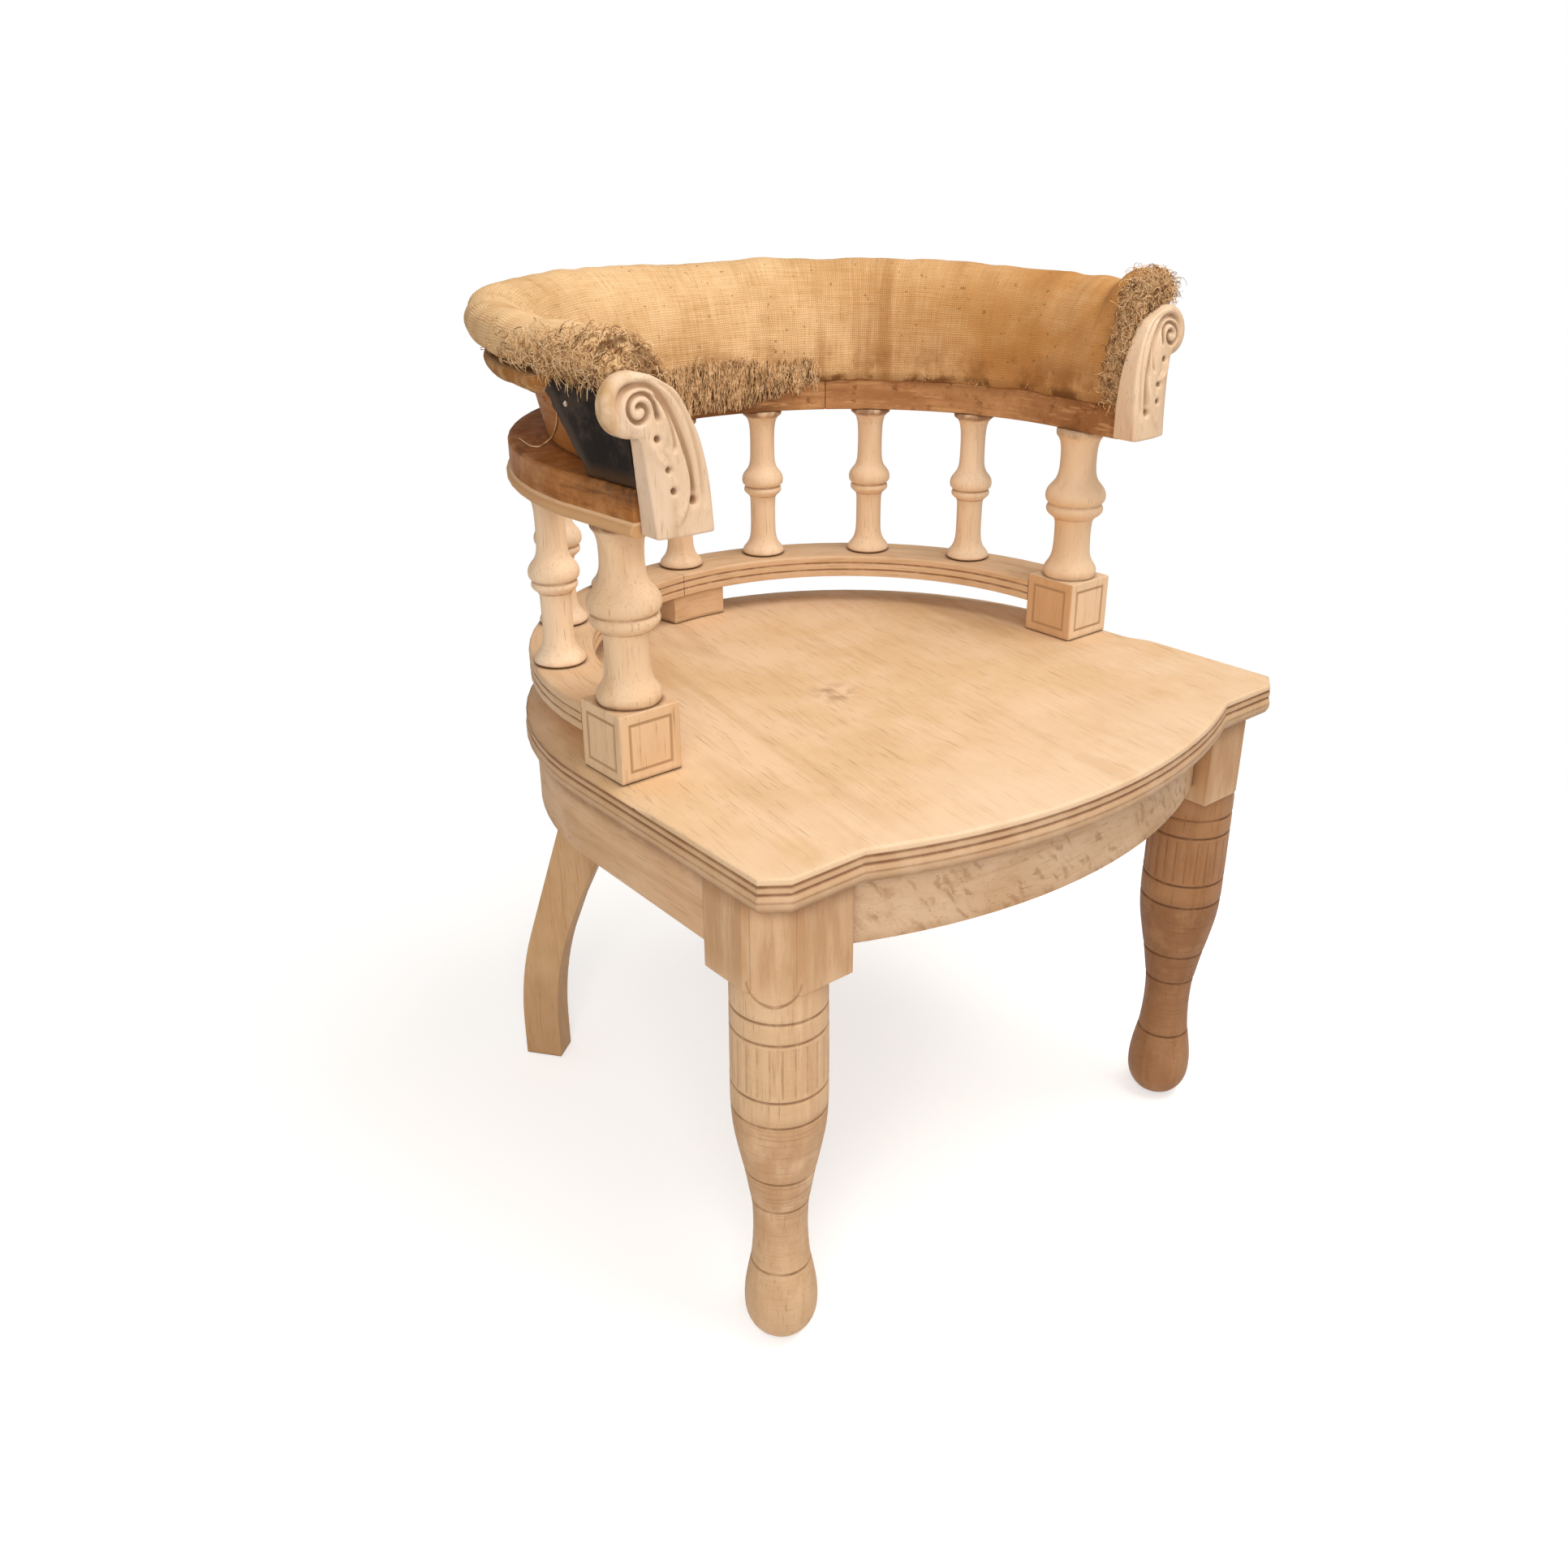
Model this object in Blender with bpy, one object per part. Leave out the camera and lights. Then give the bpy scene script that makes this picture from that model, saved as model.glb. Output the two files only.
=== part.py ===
# Tub-back desk armchair in stripped oak, with a turned spindle gallery and a stuffed crest roll.
# Metres, +Z up, the sitter faces -Y. Left and right are as seen from the front, so left is -X.
# Lengths in Y are measured from the straight front edge of the seat's ears; the root empty centres them.

import bpy
import bmesh
from math import asin, cos, pi, radians, sin, sqrt, tan
from mathutils import Matrix, Vector

# General fits
CLEARANCE = 0.0003
CUT_OVERSHOOT = 0.010
ROD_SIDES = 14

# Seat board
SEAT_HEIGHT = 0.447
SEAT_THICKNESS = 0.028
SEAT_HALF_WIDTH = 0.2925
SEAT_WAIST_HALF_WIDTH = 0.289
EAR_CANT_WIDTH = 0.019
EAR_CANT_DEPTH = 0.014
EAR_WIDTH = 0.0835
BOW_RISE = 0.045
BOW_STEPS = 20
SEAT_REAR_CENTRE_Y = 0.242
EDGE_ROUND = 0.003
EDGE_DROP = 0.0012
REED_HEIGHT = 0.006
REED_GROOVE_DEPTH = 0.0018
REED_GROOVE_WIDTH = 0.002
LOWER_MOULD_SWELL = 0.001
LOWER_MOULD_COVE = 0.004
BEVEL_STOP_Y = 0.137
BEVEL_STOP_LENGTH = 0.030
BEVEL_SIDE_WIDTH = 0.011
BEVEL_BACK_WIDTH = 0.038
BEVEL_DROP = 0.0045

# Seat rails
RAIL_THICKNESS = 0.022
RAIL_HEIGHT = 0.055
FRONT_RAIL_HEIGHT = 0.060
SIDE_RAIL_SETBACK = 0.007
FRONT_RAIL_SETBACK = 0.022
RAIL_TENON_LENGTH = 0.020
RAIL_TENON_THICKNESS = 0.010
RAIL_TENON_HEIGHT = 0.038
RAIL_STEPS = 14

# Front legs
LEG_INSET = 0.0445
LEG_Y = 0.047
LEG_BLOCK_WIDTH = 0.076
LEG_BLOCK_FOOT = 0.344
LEG_ROUND_TOP = 0.3415
LEG_ROUND_RADIUS = 0.0364
LEG_CANT_REACH = 0.0342
LEG_CANT_WIDTH = 0.039
LEG_TONGUE_FOOT = 0.335
FOOT_FLAT_RADIUS = 0.0115
BALL_RADIUS = 0.0298
BALL_CENTRE_Z = 0.031
ANKLE_RADIUS = 0.0212
ANKLE_Z = 0.105
BARREL_RADIUS = 0.0373
BARREL_FOOT_Z = 0.2314
RING_GROOVES_Z = (0.075, 0.137, 0.169, 0.229, 0.252, 0.302, 0.320)
RING_GROOVE_WIDTH = 0.0024
RING_GROOVE_DEPTH = 0.0011
LEG_SIDES = 24

# Rear legs
REAR_LEG_ANGLE = radians(37.0)
REAR_LEG_WIDTH = 0.039
REAR_LEG_TOP_FLARE = 0.024
REAR_LEG_THICKNESS = 0.028
REAR_FOOT_SPLAY = 0.038
REAR_FOOT_UPRIGHT = 0.040
REAR_SWEEP_RADIUS = 0.36
REAR_SWEEP_ANGLE = radians(17.5)
LEG_SCREW_SPREAD = 0.016
LEG_SCREW_BITE = 0.0168
LEG_SCREW_RADIUS = 0.002
LEG_SCREW_HEAD_RADIUS = 0.0042
LEG_SCREW_HEAD_HEIGHT = 0.0025
LEG_SCREW_LIFT = 0.026
SCREW_SIDES = 8

# Glue blocks under the seat
GLUE_BLOCK_LENGTH = 0.060
GLUE_BLOCK_WIDTH = 0.022

# Ring that the gallery, the spindles and the arm bow stand on
RING_SETBACK = 0.005
SPINDLE_RING_INSET = 0.032
SPINDLE_ANGLES = (-69.0, -45.5, -21.0, 0.0, 21.0, 45.5, 69.0)
RING_STEPS = 36

# Gallery rail and its spacer
GALLERY_LIFT = 0.028
GALLERY_THICKNESS = 0.021
GALLERY_EDGE_ROUND = 0.0015
GALLERY_GROOVE_DEPTH = 0.0012
GALLERY_GROOVE_WIDTH = 0.002
GALLERY_JOINT_ANGLE = radians(-5.0)
GALLERY_TENON_LENGTH = 0.014
GALLERY_TENON_WIDTH = 0.030
GALLERY_TENON_HEIGHT = 0.010
SPACER_HALF_ANGLE = radians(7.5)
SPACER_INSET = 0.004

# Arm posts
POST_DRAW = 0.004
POST_FORWARD = 0.030
PLINTH_WIDTH = 0.054
PLINTH_HEIGHT = 0.055
PLINTH_CHAMFER = 0.002
POST_FOOT_TENON_RADIUS = 0.011
POST_FOOT_TENON_LENGTH = 0.018
POST_HEAD_TENON_RADIUS = 0.010
POST_BASE_RADIUS = 0.0272
POST_SHAFT_RADIUS = 0.0170
POST_RING_RADIUS = 0.0266
POST_BULB_RADIUS = 0.0282
POST_COLLAR_RADIUS = 0.0222
POST_SIDES = 16

# Spindles
SPINDLE_BASE_RADIUS = 0.0212
SPINDLE_SHAFT_RADIUS = 0.0126
SPINDLE_RING_OUT_RADIUS = 0.0189
SPINDLE_BULB_RADIUS = 0.0209
SPINDLE_BULB_SHARE = 0.52
SPINDLE_COLLAR_RADIUS = 0.0196
SPINDLE_TENON_RADIUS = 0.007
SPINDLE_TENON_LENGTH = 0.012
SPINDLE_SIDES = 12

# Arm bow
ARM_UNDERSIDE = 0.641
ARM_THICKNESS = 0.033
ARM_INSET = 0.017
ARM_WIDTH = 0.042
ARM_BEAD_HEIGHT = 0.010
ARM_BEAD_SWELL = 0.003
ARM_EDGE_ROUND = 0.002
ARM_JOINT_ANGLE = radians(35.0)
ARM_TOE_IN = 0.005
ARM_TENON_LENGTH = 0.012
ARM_TENON_WIDTH = 0.020
ARM_TENON_HEIGHT = 0.016

# Scroll consoles at the arm ends
CONSOLE_FORWARD = 0.076
CONSOLE_THICKNESS = 0.020
CONSOLE_FOOT_WIDTH = 0.046
VOLUTE_RADIUS = 0.0225
VOLUTE_LIFT = 0.0895
VOLUTE_OVERHANG = 0.001
VOLUTE_FROM = radians(-115)
VOLUTE_TO = radians(100)
VOLUTE_STEPS = 18
CONSOLE_NECK_LIFT = 0.058
CONSOLE_NECK_DRAW = 0.001

# Crest: upright core, stuffed roll and outside lining
CORE_THICKNESS = 0.010
CORE_HEIGHT = 0.068
CORE_SETBACK = 0.0005
CORE_LEAN = 0.016
ROLL_RISE = 0.104
ROLL_CROWN_REACH = 0.002
ROLL_CROWN_DROP = 0.016
ROLL_OVERHANG = 0.027
ROLL_LIP_LIFT = 0.050
ROLL_LIP_REACH = 0.0255
ROLL_LIP_HOLLOW = 0.010
ROLL_LIP_ROUND = 0.004
ROLL_SKIRT = 0.006
ROLL_CHEST_SWELL = 0.0045
ROLL_CHEST_DRAW = 0.0013
ROLL_CHEST_LIFT = 0.015
LINING_THICKNESS = 0.0015
LINING_INSET = 0.003
LINING_LEAN = 0.006
LINING_FOOT_LENGTH = 0.053
LINING_HEAD_LENGTH = 0.092

# Values that follow from the sizes above
SEAT_UNDERSIDE = SEAT_HEIGHT - SEAT_THICKNESS
RAIL_TOP = SEAT_UNDERSIDE - CLEARANCE
RAIL_FOOT = SEAT_UNDERSIDE - RAIL_HEIGHT
FRONT_RAIL_FOOT = SEAT_UNDERSIDE - FRONT_RAIL_HEIGHT
BOW_HALF_WIDTH = SEAT_HALF_WIDTH - EAR_WIDTH
BOW_RADIUS = (BOW_HALF_WIDTH ** 2 + BOW_RISE ** 2) / (2 * BOW_RISE)
BOW_CENTRE_Y = BOW_RADIUS - BOW_RISE
LEG_X = SEAT_HALF_WIDTH - LEG_INSET
REAR_FOOT_REACH = SEAT_WAIST_HALF_WIDTH + REAR_FOOT_SPLAY
LEG_SCREW_Z = RAIL_FOOT + LEG_SCREW_LIFT
RING_CENTRE_Y = SEAT_REAR_CENTRE_Y + RING_SETBACK
SPINDLE_RING_RADIUS = SEAT_WAIST_HALF_WIDTH - SPINDLE_RING_INSET
POST_X = SPINDLE_RING_RADIUS - POST_DRAW
POST_Y = RING_CENTRE_Y - POST_FORWARD
GALLERY_FOOT = SEAT_HEIGHT + GALLERY_LIFT
GALLERY_TOP = GALLERY_FOOT + GALLERY_THICKNESS
GALLERY_INNER_RADIUS = POST_X - PLINTH_WIDTH / 2
GALLERY_OUTER_RADIUS = POST_X + PLINTH_WIDTH / 2
PLINTH_TOP = SEAT_HEIGHT + PLINTH_HEIGHT
PLINTH_BACK_Y = POST_Y + PLINTH_WIDTH / 2
ARM_TOP = ARM_UNDERSIDE + ARM_THICKNESS
ARM_INNER_RADIUS = SPINDLE_RING_RADIUS - ARM_INSET
ARM_OUTER_RADIUS = ARM_INNER_RADIUS + ARM_WIDTH
CONSOLE_FRONT_Y = POST_Y - CONSOLE_FORWARD
CONSOLE_BACK_Y = CONSOLE_FRONT_Y + CONSOLE_THICKNESS
ARM_END_Y = CONSOLE_BACK_Y + CLEARANCE
CORE_FOOT = ARM_TOP + CLEARANCE
CORE_TOP = CORE_FOOT + CORE_HEIGHT
CORE_INNER_FOOT = ARM_INNER_RADIUS + CORE_SETBACK
ROLL_TOP = ARM_TOP + ROLL_RISE
ROLL_TOP_RADIUS = ARM_OUTER_RADIUS + ROLL_CROWN_REACH
ROLL_OUTER_RADIUS = ARM_OUTER_RADIUS + ROLL_OVERHANG
ROLL_OUTER_Z = ROLL_TOP - ROLL_CROWN_DROP
ROLL_LIP_Z = ARM_TOP + ROLL_LIP_LIFT
ROLL_CHEST_RADIUS = ARM_INNER_RADIUS - ROLL_CHEST_SWELL
ROLL_CHEST_Z = ARM_TOP + ROLL_CHEST_LIFT
SIDE_RAIL_OUTER_RADIUS = SEAT_WAIST_HALF_WIDTH - SIDE_RAIL_SETBACK
SIDE_RAIL_INNER_RADIUS = SIDE_RAIL_OUTER_RADIUS - RAIL_THICKNESS
REAR_BEND_TOP = REAR_FOOT_UPRIGHT + REAR_SWEEP_RADIUS * sin(REAR_SWEEP_ANGLE)
FACET = pi / RING_STEPS
SIDES = (("left", -1), ("right", 1))

# Centre of the whole depth, from the seat's bow to the back of the roll
FRONT_Y = -BOW_RISE - LOWER_MOULD_SWELL
BACK_Y = RING_CENTRE_Y + ROLL_OUTER_RADIUS
CENTRE_Y = (FRONT_Y + BACK_Y) / 2

for old in list(bpy.data.objects):
    bpy.data.objects.remove(old, do_unlink=True)

root = bpy.data.objects.new("chair_root", None)
root.location = (0, -CENTRE_Y, 0)
bpy.context.scene.collection.objects.link(root)


def finish_material(name, colour, roughness):
    """A plain Principled material."""
    made = bpy.data.materials.new(name)
    made.use_nodes = True
    shader = made.node_tree.nodes["Principled BSDF"]
    shader.inputs["Base Color"].default_value = (*colour, 1)
    shader.inputs["Roughness"].default_value = roughness
    made.diffuse_color = (*colour, 1)
    return made


PALE_OAK = finish_material("pale_oak", (0.72, 0.52, 0.33), 0.62)
BROWN_OAK = finish_material("brown_oak", (0.46, 0.27, 0.13), 0.72)
HIDDEN_OAK = finish_material("hidden_oak", (0.52, 0.36, 0.21), 0.75)
HESSIAN = finish_material("hessian", (0.62, 0.42, 0.19), 0.95)
BLACK_CLOTH = finish_material("black_cloth", (0.035, 0.03, 0.028), 0.92)
STEEL = finish_material("dull_steel", (0.45, 0.43, 0.40), 0.45)
STEEL.node_tree.nodes["Principled BSDF"].inputs["Metallic"].default_value = 1.0


def place(name, mesh_maker, finish, smooth_angle=radians(35)):
    """Turn a bmesh into a named object under the root."""
    bmesh.ops.remove_doubles(mesh_maker, verts=mesh_maker.verts, dist=1e-6)
    bmesh.ops.recalc_face_normals(mesh_maker, faces=mesh_maker.faces)
    mesh = bpy.data.meshes.new(name)
    mesh_maker.to_mesh(mesh)
    mesh_maker.free()
    mesh.materials.append(finish)
    mesh.shade_smooth()
    mesh.set_sharp_from_angle(angle=smooth_angle)
    made = bpy.data.objects.new(name, mesh)
    bpy.context.scene.collection.objects.link(made)
    made.parent = root
    return made


def place_cutter(name, mesh_maker):
    """A hidden body that only shapes other bodies."""
    made = place(name, mesh_maker, HIDDEN_OAK)
    made.hide_render = True
    made.display_type = "WIRE"
    return made


def shape(target, tool, operation):
    """Cut a body with a hidden body, or join the two."""
    change = target.modifiers.new(tool.name, "BOOLEAN")
    change.operation = operation
    change.object = tool
    change.solver = "EXACT"


def loft(rings):
    """Skin a row of closed rings with equal point counts and cap both ends."""
    made = bmesh.new()
    loops = []
    for ring in rings:
        loops.append([made.verts.new(point) for point in ring])
    for low, high in zip(loops, loops[1:]):
        for i in range(len(low)):
            j = (i + 1) % len(low)
            made.faces.new((low[i], low[j], high[j], high[i]))
    made.faces.new(loops[0])
    made.faces.new(loops[-1])
    return made


def prism(outline, low, high, across=None):
    """Extrude a flat outline of (x, y) from one height to another, through a matrix if one is given."""
    made = bmesh.new()
    face = made.faces.new([made.verts.new((x, y, low)) for x, y in outline])
    raised = bmesh.ops.extrude_face_region(made, geom=[face])
    moved = [v for v in raised["geom"] if isinstance(v, bmesh.types.BMVert)]
    bmesh.ops.translate(made, verts=moved, vec=(0, 0, high - low))
    if across is not None:
        bmesh.ops.transform(made, matrix=across, verts=made.verts)
    return made


def block(size, centre, turn=0.0):
    """A box turned about Z."""
    made = bmesh.new()
    bmesh.ops.create_cube(made, size=1)
    spot = Matrix.Translation(centre) @ Matrix.Rotation(turn, 4, "Z") @ Matrix.Diagonal((*size, 1))
    bmesh.ops.transform(made, matrix=spot, verts=made.verts)
    return made


def rod(radius, low, high, x, y):
    """An upright cylinder whose flats stand at the given radius."""
    made = bmesh.new()
    reach = radius / cos(pi / ROD_SIDES)
    sizes = {"segments": ROD_SIDES, "radius1": reach, "radius2": reach, "depth": high - low}
    bmesh.ops.create_cone(made, cap_ends=True, **sizes)
    bmesh.ops.translate(made, verts=made.verts, vec=(x, y, (low + high) / 2))
    return made


def turned(profile, sides):
    """Spin a profile of (radius, z), listed from bottom to top, about the Z axis."""
    made = bmesh.new()
    line = [made.verts.new((r, 0, z)) for r, z in profile]
    edges = [made.edges.new(pair) for pair in zip(line, line[1:])]
    spun = {"axis": (0, 0, 1), "cent": (0, 0, 0), "angle": 2 * pi, "steps": sides}
    bmesh.ops.spin(made, geom=line + edges, use_merge=True, **spun)
    return made


def ring_point(radius, angle, z, centre_y=RING_CENTRE_Y):
    """A point on a ring about the chair's back; the angle is from the middle of the back towards +X."""
    return Vector((radius * sin(angle), centre_y + radius * cos(angle), z))


def bent(section, start, end, run_start=False, run_end=False, end_y=RING_CENTRE_Y, toe_in=0.0):
    """Sweep a section of (radius, z) round the ring, with straight runs forward to end_y that may toe in."""
    inner_turns = [FACET * step for step in range(-RING_STEPS, RING_STEPS + 1)]
    turns = [start] + [turn for turn in inner_turns if start + FACET / 2 < turn < end - FACET / 2] + [end]
    rings = []
    if run_start:
        rings.append([Vector((toe_in - r, end_y, z)) for r, z in section])
    for turn in turns:
        rings.append([ring_point(r, turn, z) for r, z in section])
    if run_end:
        rings.append([Vector((r - toe_in, end_y, z)) for r, z in section])
    return loft(rings)


def arc(radius, start, end, steps, centre):
    """Points along a flat arc, angles from +X."""
    points = []
    for step in range(steps + 1):
        angle = start + (end - start) * step / steps
        points.append((centre[0] + radius * cos(angle), centre[1] + radius * sin(angle)))
    return points


def smooth_step(value):
    """Ease from 0 to 1."""
    value = min(max(value, 0.0), 1.0)
    return value * value * (3 - 2 * value)


def tenon(rail, host, size, centre, turn=0.0):
    """Join a box tenon to a rail and cut its mortise, one clearance larger, in the host."""
    tongue = place_cutter(rail.name + "_tenon_" + host.name, block(size, centre, turn))
    shape(rail, tongue, "UNION")
    hole = [length + 2 * CLEARANCE for length in size]
    mortise = place_cutter(host.name + "_mortise_" + rail.name, block(hole, centre, turn))
    shape(host, mortise, "DIFFERENCE")


def socket(host, radius, low, high, x, y):
    """Cut a round socket, one clearance larger than its tenon."""
    name = "%s_socket_%d" % (host.name, len(host.modifiers))
    shape(host, place_cutter(name, rod(radius + CLEARANCE, low, high, x, y)), "DIFFERENCE")


def seat_outline():
    """The seat's plan, anticlockwise from the left end of the bow, with each point's outward direction."""
    sweep = asin(BOW_HALF_WIDTH / BOW_RADIUS)
    points = arc(BOW_RADIUS, -pi / 2 - sweep, -pi / 2 + sweep, BOW_STEPS, (0, BOW_CENTRE_Y))
    points.append((SEAT_HALF_WIDTH - EAR_CANT_WIDTH, 0))
    side_stops = 8
    side = [(SEAT_HALF_WIDTH, EAR_CANT_DEPTH)]
    for stop in range(side_stops + 1):
        y = BEVEL_STOP_Y + BEVEL_STOP_LENGTH * stop / side_stops
        share = (y - EAR_CANT_DEPTH) / (SEAT_REAR_CENTRE_Y - EAR_CANT_DEPTH)
        side.append((SEAT_HALF_WIDTH + (SEAT_WAIST_HALF_WIDTH - SEAT_HALF_WIDTH) * share, y))
    points += side
    points += arc(SEAT_WAIST_HALF_WIDTH, 0, pi, RING_STEPS, (0, SEAT_REAR_CENTRE_Y))
    points += [(-x, y) for x, y in reversed(side)]
    points.append((-(SEAT_HALF_WIDTH - EAR_CANT_WIDTH), 0))
    outline = []
    for i, (x, y) in enumerate(points):
        before = Vector(points[i - 1])
        after = Vector(points[(i + 1) % len(points)])
        here = Vector((x, y))
        back = (here - before).normalized()
        ahead = (after - here).normalized()
        way = Vector((back.y + ahead.y, -back.x - ahead.x))
        way /= max(1.0 + back.dot(ahead), 0.5)
        outline.append((here, way))
    return outline


def bevel_share(point):
    """How far the back's bevel has opened: 0 on the ears, 1 past the stop."""
    return smooth_step((point.y - BEVEL_STOP_Y) / BEVEL_STOP_LENGTH)


def bevel_width(point):
    """Width of the bevel, narrow beside the posts and widest in the middle of the back."""
    depth = max(0.0, point.y - SEAT_REAR_CENTRE_Y) / SEAT_WAIST_HALF_WIDTH
    return BEVEL_SIDE_WIDTH + (BEVEL_BACK_WIDTH - BEVEL_SIDE_WIDTH) * smooth_step(depth * 1.3)


def make_seat_board():
    """Bow-fronted seat with two reeds on its edge, a rounded lower moulding and a bevel round the back."""
    outline = seat_outline()
    top = []
    shoulder = []
    for point, way in outline:
        share = bevel_share(point)
        inset = EDGE_ROUND + (bevel_width(point) - EDGE_ROUND) * share
        flat = point - way * inset
        edge = point - way * (EDGE_ROUND * 0.2)
        top.append((flat.x, flat.y, SEAT_HEIGHT))
        shoulder.append((edge.x, edge.y, SEAT_HEIGHT - EDGE_DROP - (BEVEL_DROP - EDGE_DROP) * share))
    half_groove = REED_GROOVE_WIDTH / 2
    second = 2 * REED_HEIGHT
    mould = SEAT_THICKNESS - second - half_groove
    levels = [
        (0.0, REED_HEIGHT - half_groove),
        (REED_GROOVE_DEPTH, REED_HEIGHT),
        (0.0, REED_HEIGHT + half_groove),
        (0.0, second - half_groove),
        (REED_GROOVE_DEPTH, second),
        (0.0, second + half_groove),
        (-LOWER_MOULD_SWELL, second + half_groove + mould * 0.25),
        (-LOWER_MOULD_SWELL, second + half_groove + mould * 0.55),
        (LOWER_MOULD_COVE * 0.3, second + half_groove + mould * 0.85),
        (LOWER_MOULD_COVE, SEAT_THICKNESS),
    ]
    rings = [top, shoulder]
    for inset, drop in levels:
        ring = []
        for point, way in outline:
            spot = point - way * inset
            ring.append((spot.x, spot.y, SEAT_HEIGHT - drop))
        rings.append(ring)
    return place("seat_board", loft(rings), PALE_OAK)


def make_front_leg(side, sign):
    """Turned leg: ball foot, slim ankle, swelling barrel with incised rings, square block, canted corner."""
    ankle_rise = ANKLE_Z - BALL_CENTRE_Z
    barrel_rise = BARREL_FOOT_Z - ANKLE_Z
    swell = BARREL_RADIUS - ANKLE_RADIUS
    knots = [
        (FOOT_FLAT_RADIUS, 0.0),
        (BALL_RADIUS * 0.68, BALL_CENTRE_Z * 0.18),
        (BALL_RADIUS * 0.88, BALL_CENTRE_Z * 0.45),
        (BALL_RADIUS * 0.97, BALL_CENTRE_Z * 0.72),
        (BALL_RADIUS, BALL_CENTRE_Z),
        (BALL_RADIUS * 0.99, BALL_CENTRE_Z + ankle_rise * 0.20),
        (ANKLE_RADIUS * 1.25, BALL_CENTRE_Z + ankle_rise * 0.43),
        (ANKLE_RADIUS * 1.10, BALL_CENTRE_Z + ankle_rise * 0.66),
        (ANKLE_RADIUS, ANKLE_Z),
        (ANKLE_RADIUS + swell * 0.05, ANKLE_Z + barrel_rise * 0.20),
        (ANKLE_RADIUS + swell * 0.36, ANKLE_Z + barrel_rise * 0.45),
        (ANKLE_RADIUS + swell * 0.75, ANKLE_Z + barrel_rise * 0.70),
        (ANKLE_RADIUS + swell * 0.93, ANKLE_Z + barrel_rise * 0.83),
        (BARREL_RADIUS, BARREL_FOOT_Z),
        (BARREL_RADIUS, BARREL_FOOT_Z + barrel_rise * 0.33),
        (LEG_ROUND_RADIUS, LEG_ROUND_TOP),
    ]
    profile = incised(knots, RING_GROOVES_Z, RING_GROOVE_WIDTH, RING_GROOVE_DEPTH)
    rings = []
    for radius, z in profile:
        rings.append([circle_point(radius, i, LEG_SIDES, z) for i in range(LEG_SIDES)])
    half = LEG_BLOCK_WIDTH / 2
    rings.append([square_point(half, i, LEG_SIDES, LEG_BLOCK_FOOT) for i in range(LEG_SIDES)])
    rings.append([square_point(half, i, LEG_SIDES, RAIL_TOP) for i in range(LEG_SIDES)])
    made = loft(rings)
    bmesh.ops.translate(made, verts=made.verts, vec=(sign * LEG_X, LEG_Y, 0))
    leg = place("front_leg_" + side, made, PALE_OAK)
    half_cant = LEG_CANT_WIDTH / 2
    tongue = arc(half_cant, -pi, 0, 8, (0, LEG_TONGUE_FOOT + half_cant))
    tongue += [(half_cant, RAIL_TOP + CUT_OVERSHOOT), (-half_cant, RAIL_TOP + CUT_OVERSHOOT)]
    outward = Vector((sign, -1, 0)).normalized()
    along = Vector((0, 0, 1)).cross(outward)
    turn = Matrix((along, (0, 0, 1), outward)).transposed().to_4x4()
    turn.translation = (sign * LEG_X, LEG_Y, 0)
    cutter = place_cutter("leg_cant_" + side, prism(tongue, LEG_CANT_REACH, LEG_BLOCK_WIDTH, turn))
    shape(leg, cutter, "DIFFERENCE")
    return leg


def circle_point(radius, index, count, z):
    """One point of a round ring."""
    angle = 2 * pi * index / count
    return Vector((radius * cos(angle), radius * sin(angle), z))


def square_point(half, index, count, z):
    """One point of a square ring."""
    angle = 2 * pi * index / count
    radius = half / max(abs(cos(angle)), abs(sin(angle)))
    return Vector((radius * cos(angle), radius * sin(angle), z))


def incised(knots, heights, width, depth):
    """Add V grooves at the given heights to a profile of (radius, z) from bottom to top."""
    def radius_at(z):
        for (low_r, low_z), (high_r, high_z) in zip(knots, knots[1:]):
            if low_z <= z <= high_z:
                return low_r + (high_r - low_r) * (z - low_z) / (high_z - low_z)
        return knots[-1][0]

    points = [knot for knot in knots if all(abs(knot[1] - z) > width for z in heights)]
    for z in heights:
        points.append((radius_at(z - width / 2), z - width / 2))
        points.append((radius_at(z) - depth, z))
        points.append((radius_at(z + width / 2), z + width / 2))
    return sorted(points, key=lambda knot: knot[1])


def make_front_rail(legs):
    """Bowed rail between the front legs, tenoned into both blocks."""
    end = LEG_X - LEG_BLOCK_WIDTH / 2 - CLEARANCE
    outer = BOW_RADIUS - FRONT_RAIL_SETBACK
    inner = outer - RAIL_THICKNESS
    outer_sweep = asin(end / outer)
    inner_sweep = asin(end / inner)
    outline = arc(outer, -pi / 2 - outer_sweep, -pi / 2 + outer_sweep, BOW_STEPS, (0, BOW_CENTRE_Y))
    outline += arc(inner, -pi / 2 + inner_sweep, -pi / 2 - inner_sweep, BOW_STEPS, (0, BOW_CENTRE_Y))
    rail = place("front_seat_rail", prism(outline, FRONT_RAIL_FOOT, RAIL_TOP), PALE_OAK)
    end_y = BOW_CENTRE_Y - (outer * cos(outer_sweep) + inner * cos(inner_sweep)) / 2
    for leg, (side, sign) in zip(legs, SIDES):
        size = (2 * RAIL_TENON_LENGTH, RAIL_TENON_THICKNESS, RAIL_TENON_HEIGHT)
        tenon(rail, leg, size, (sign * end, end_y, (RAIL_FOOT + RAIL_TOP) / 2))
    return rail


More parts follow.
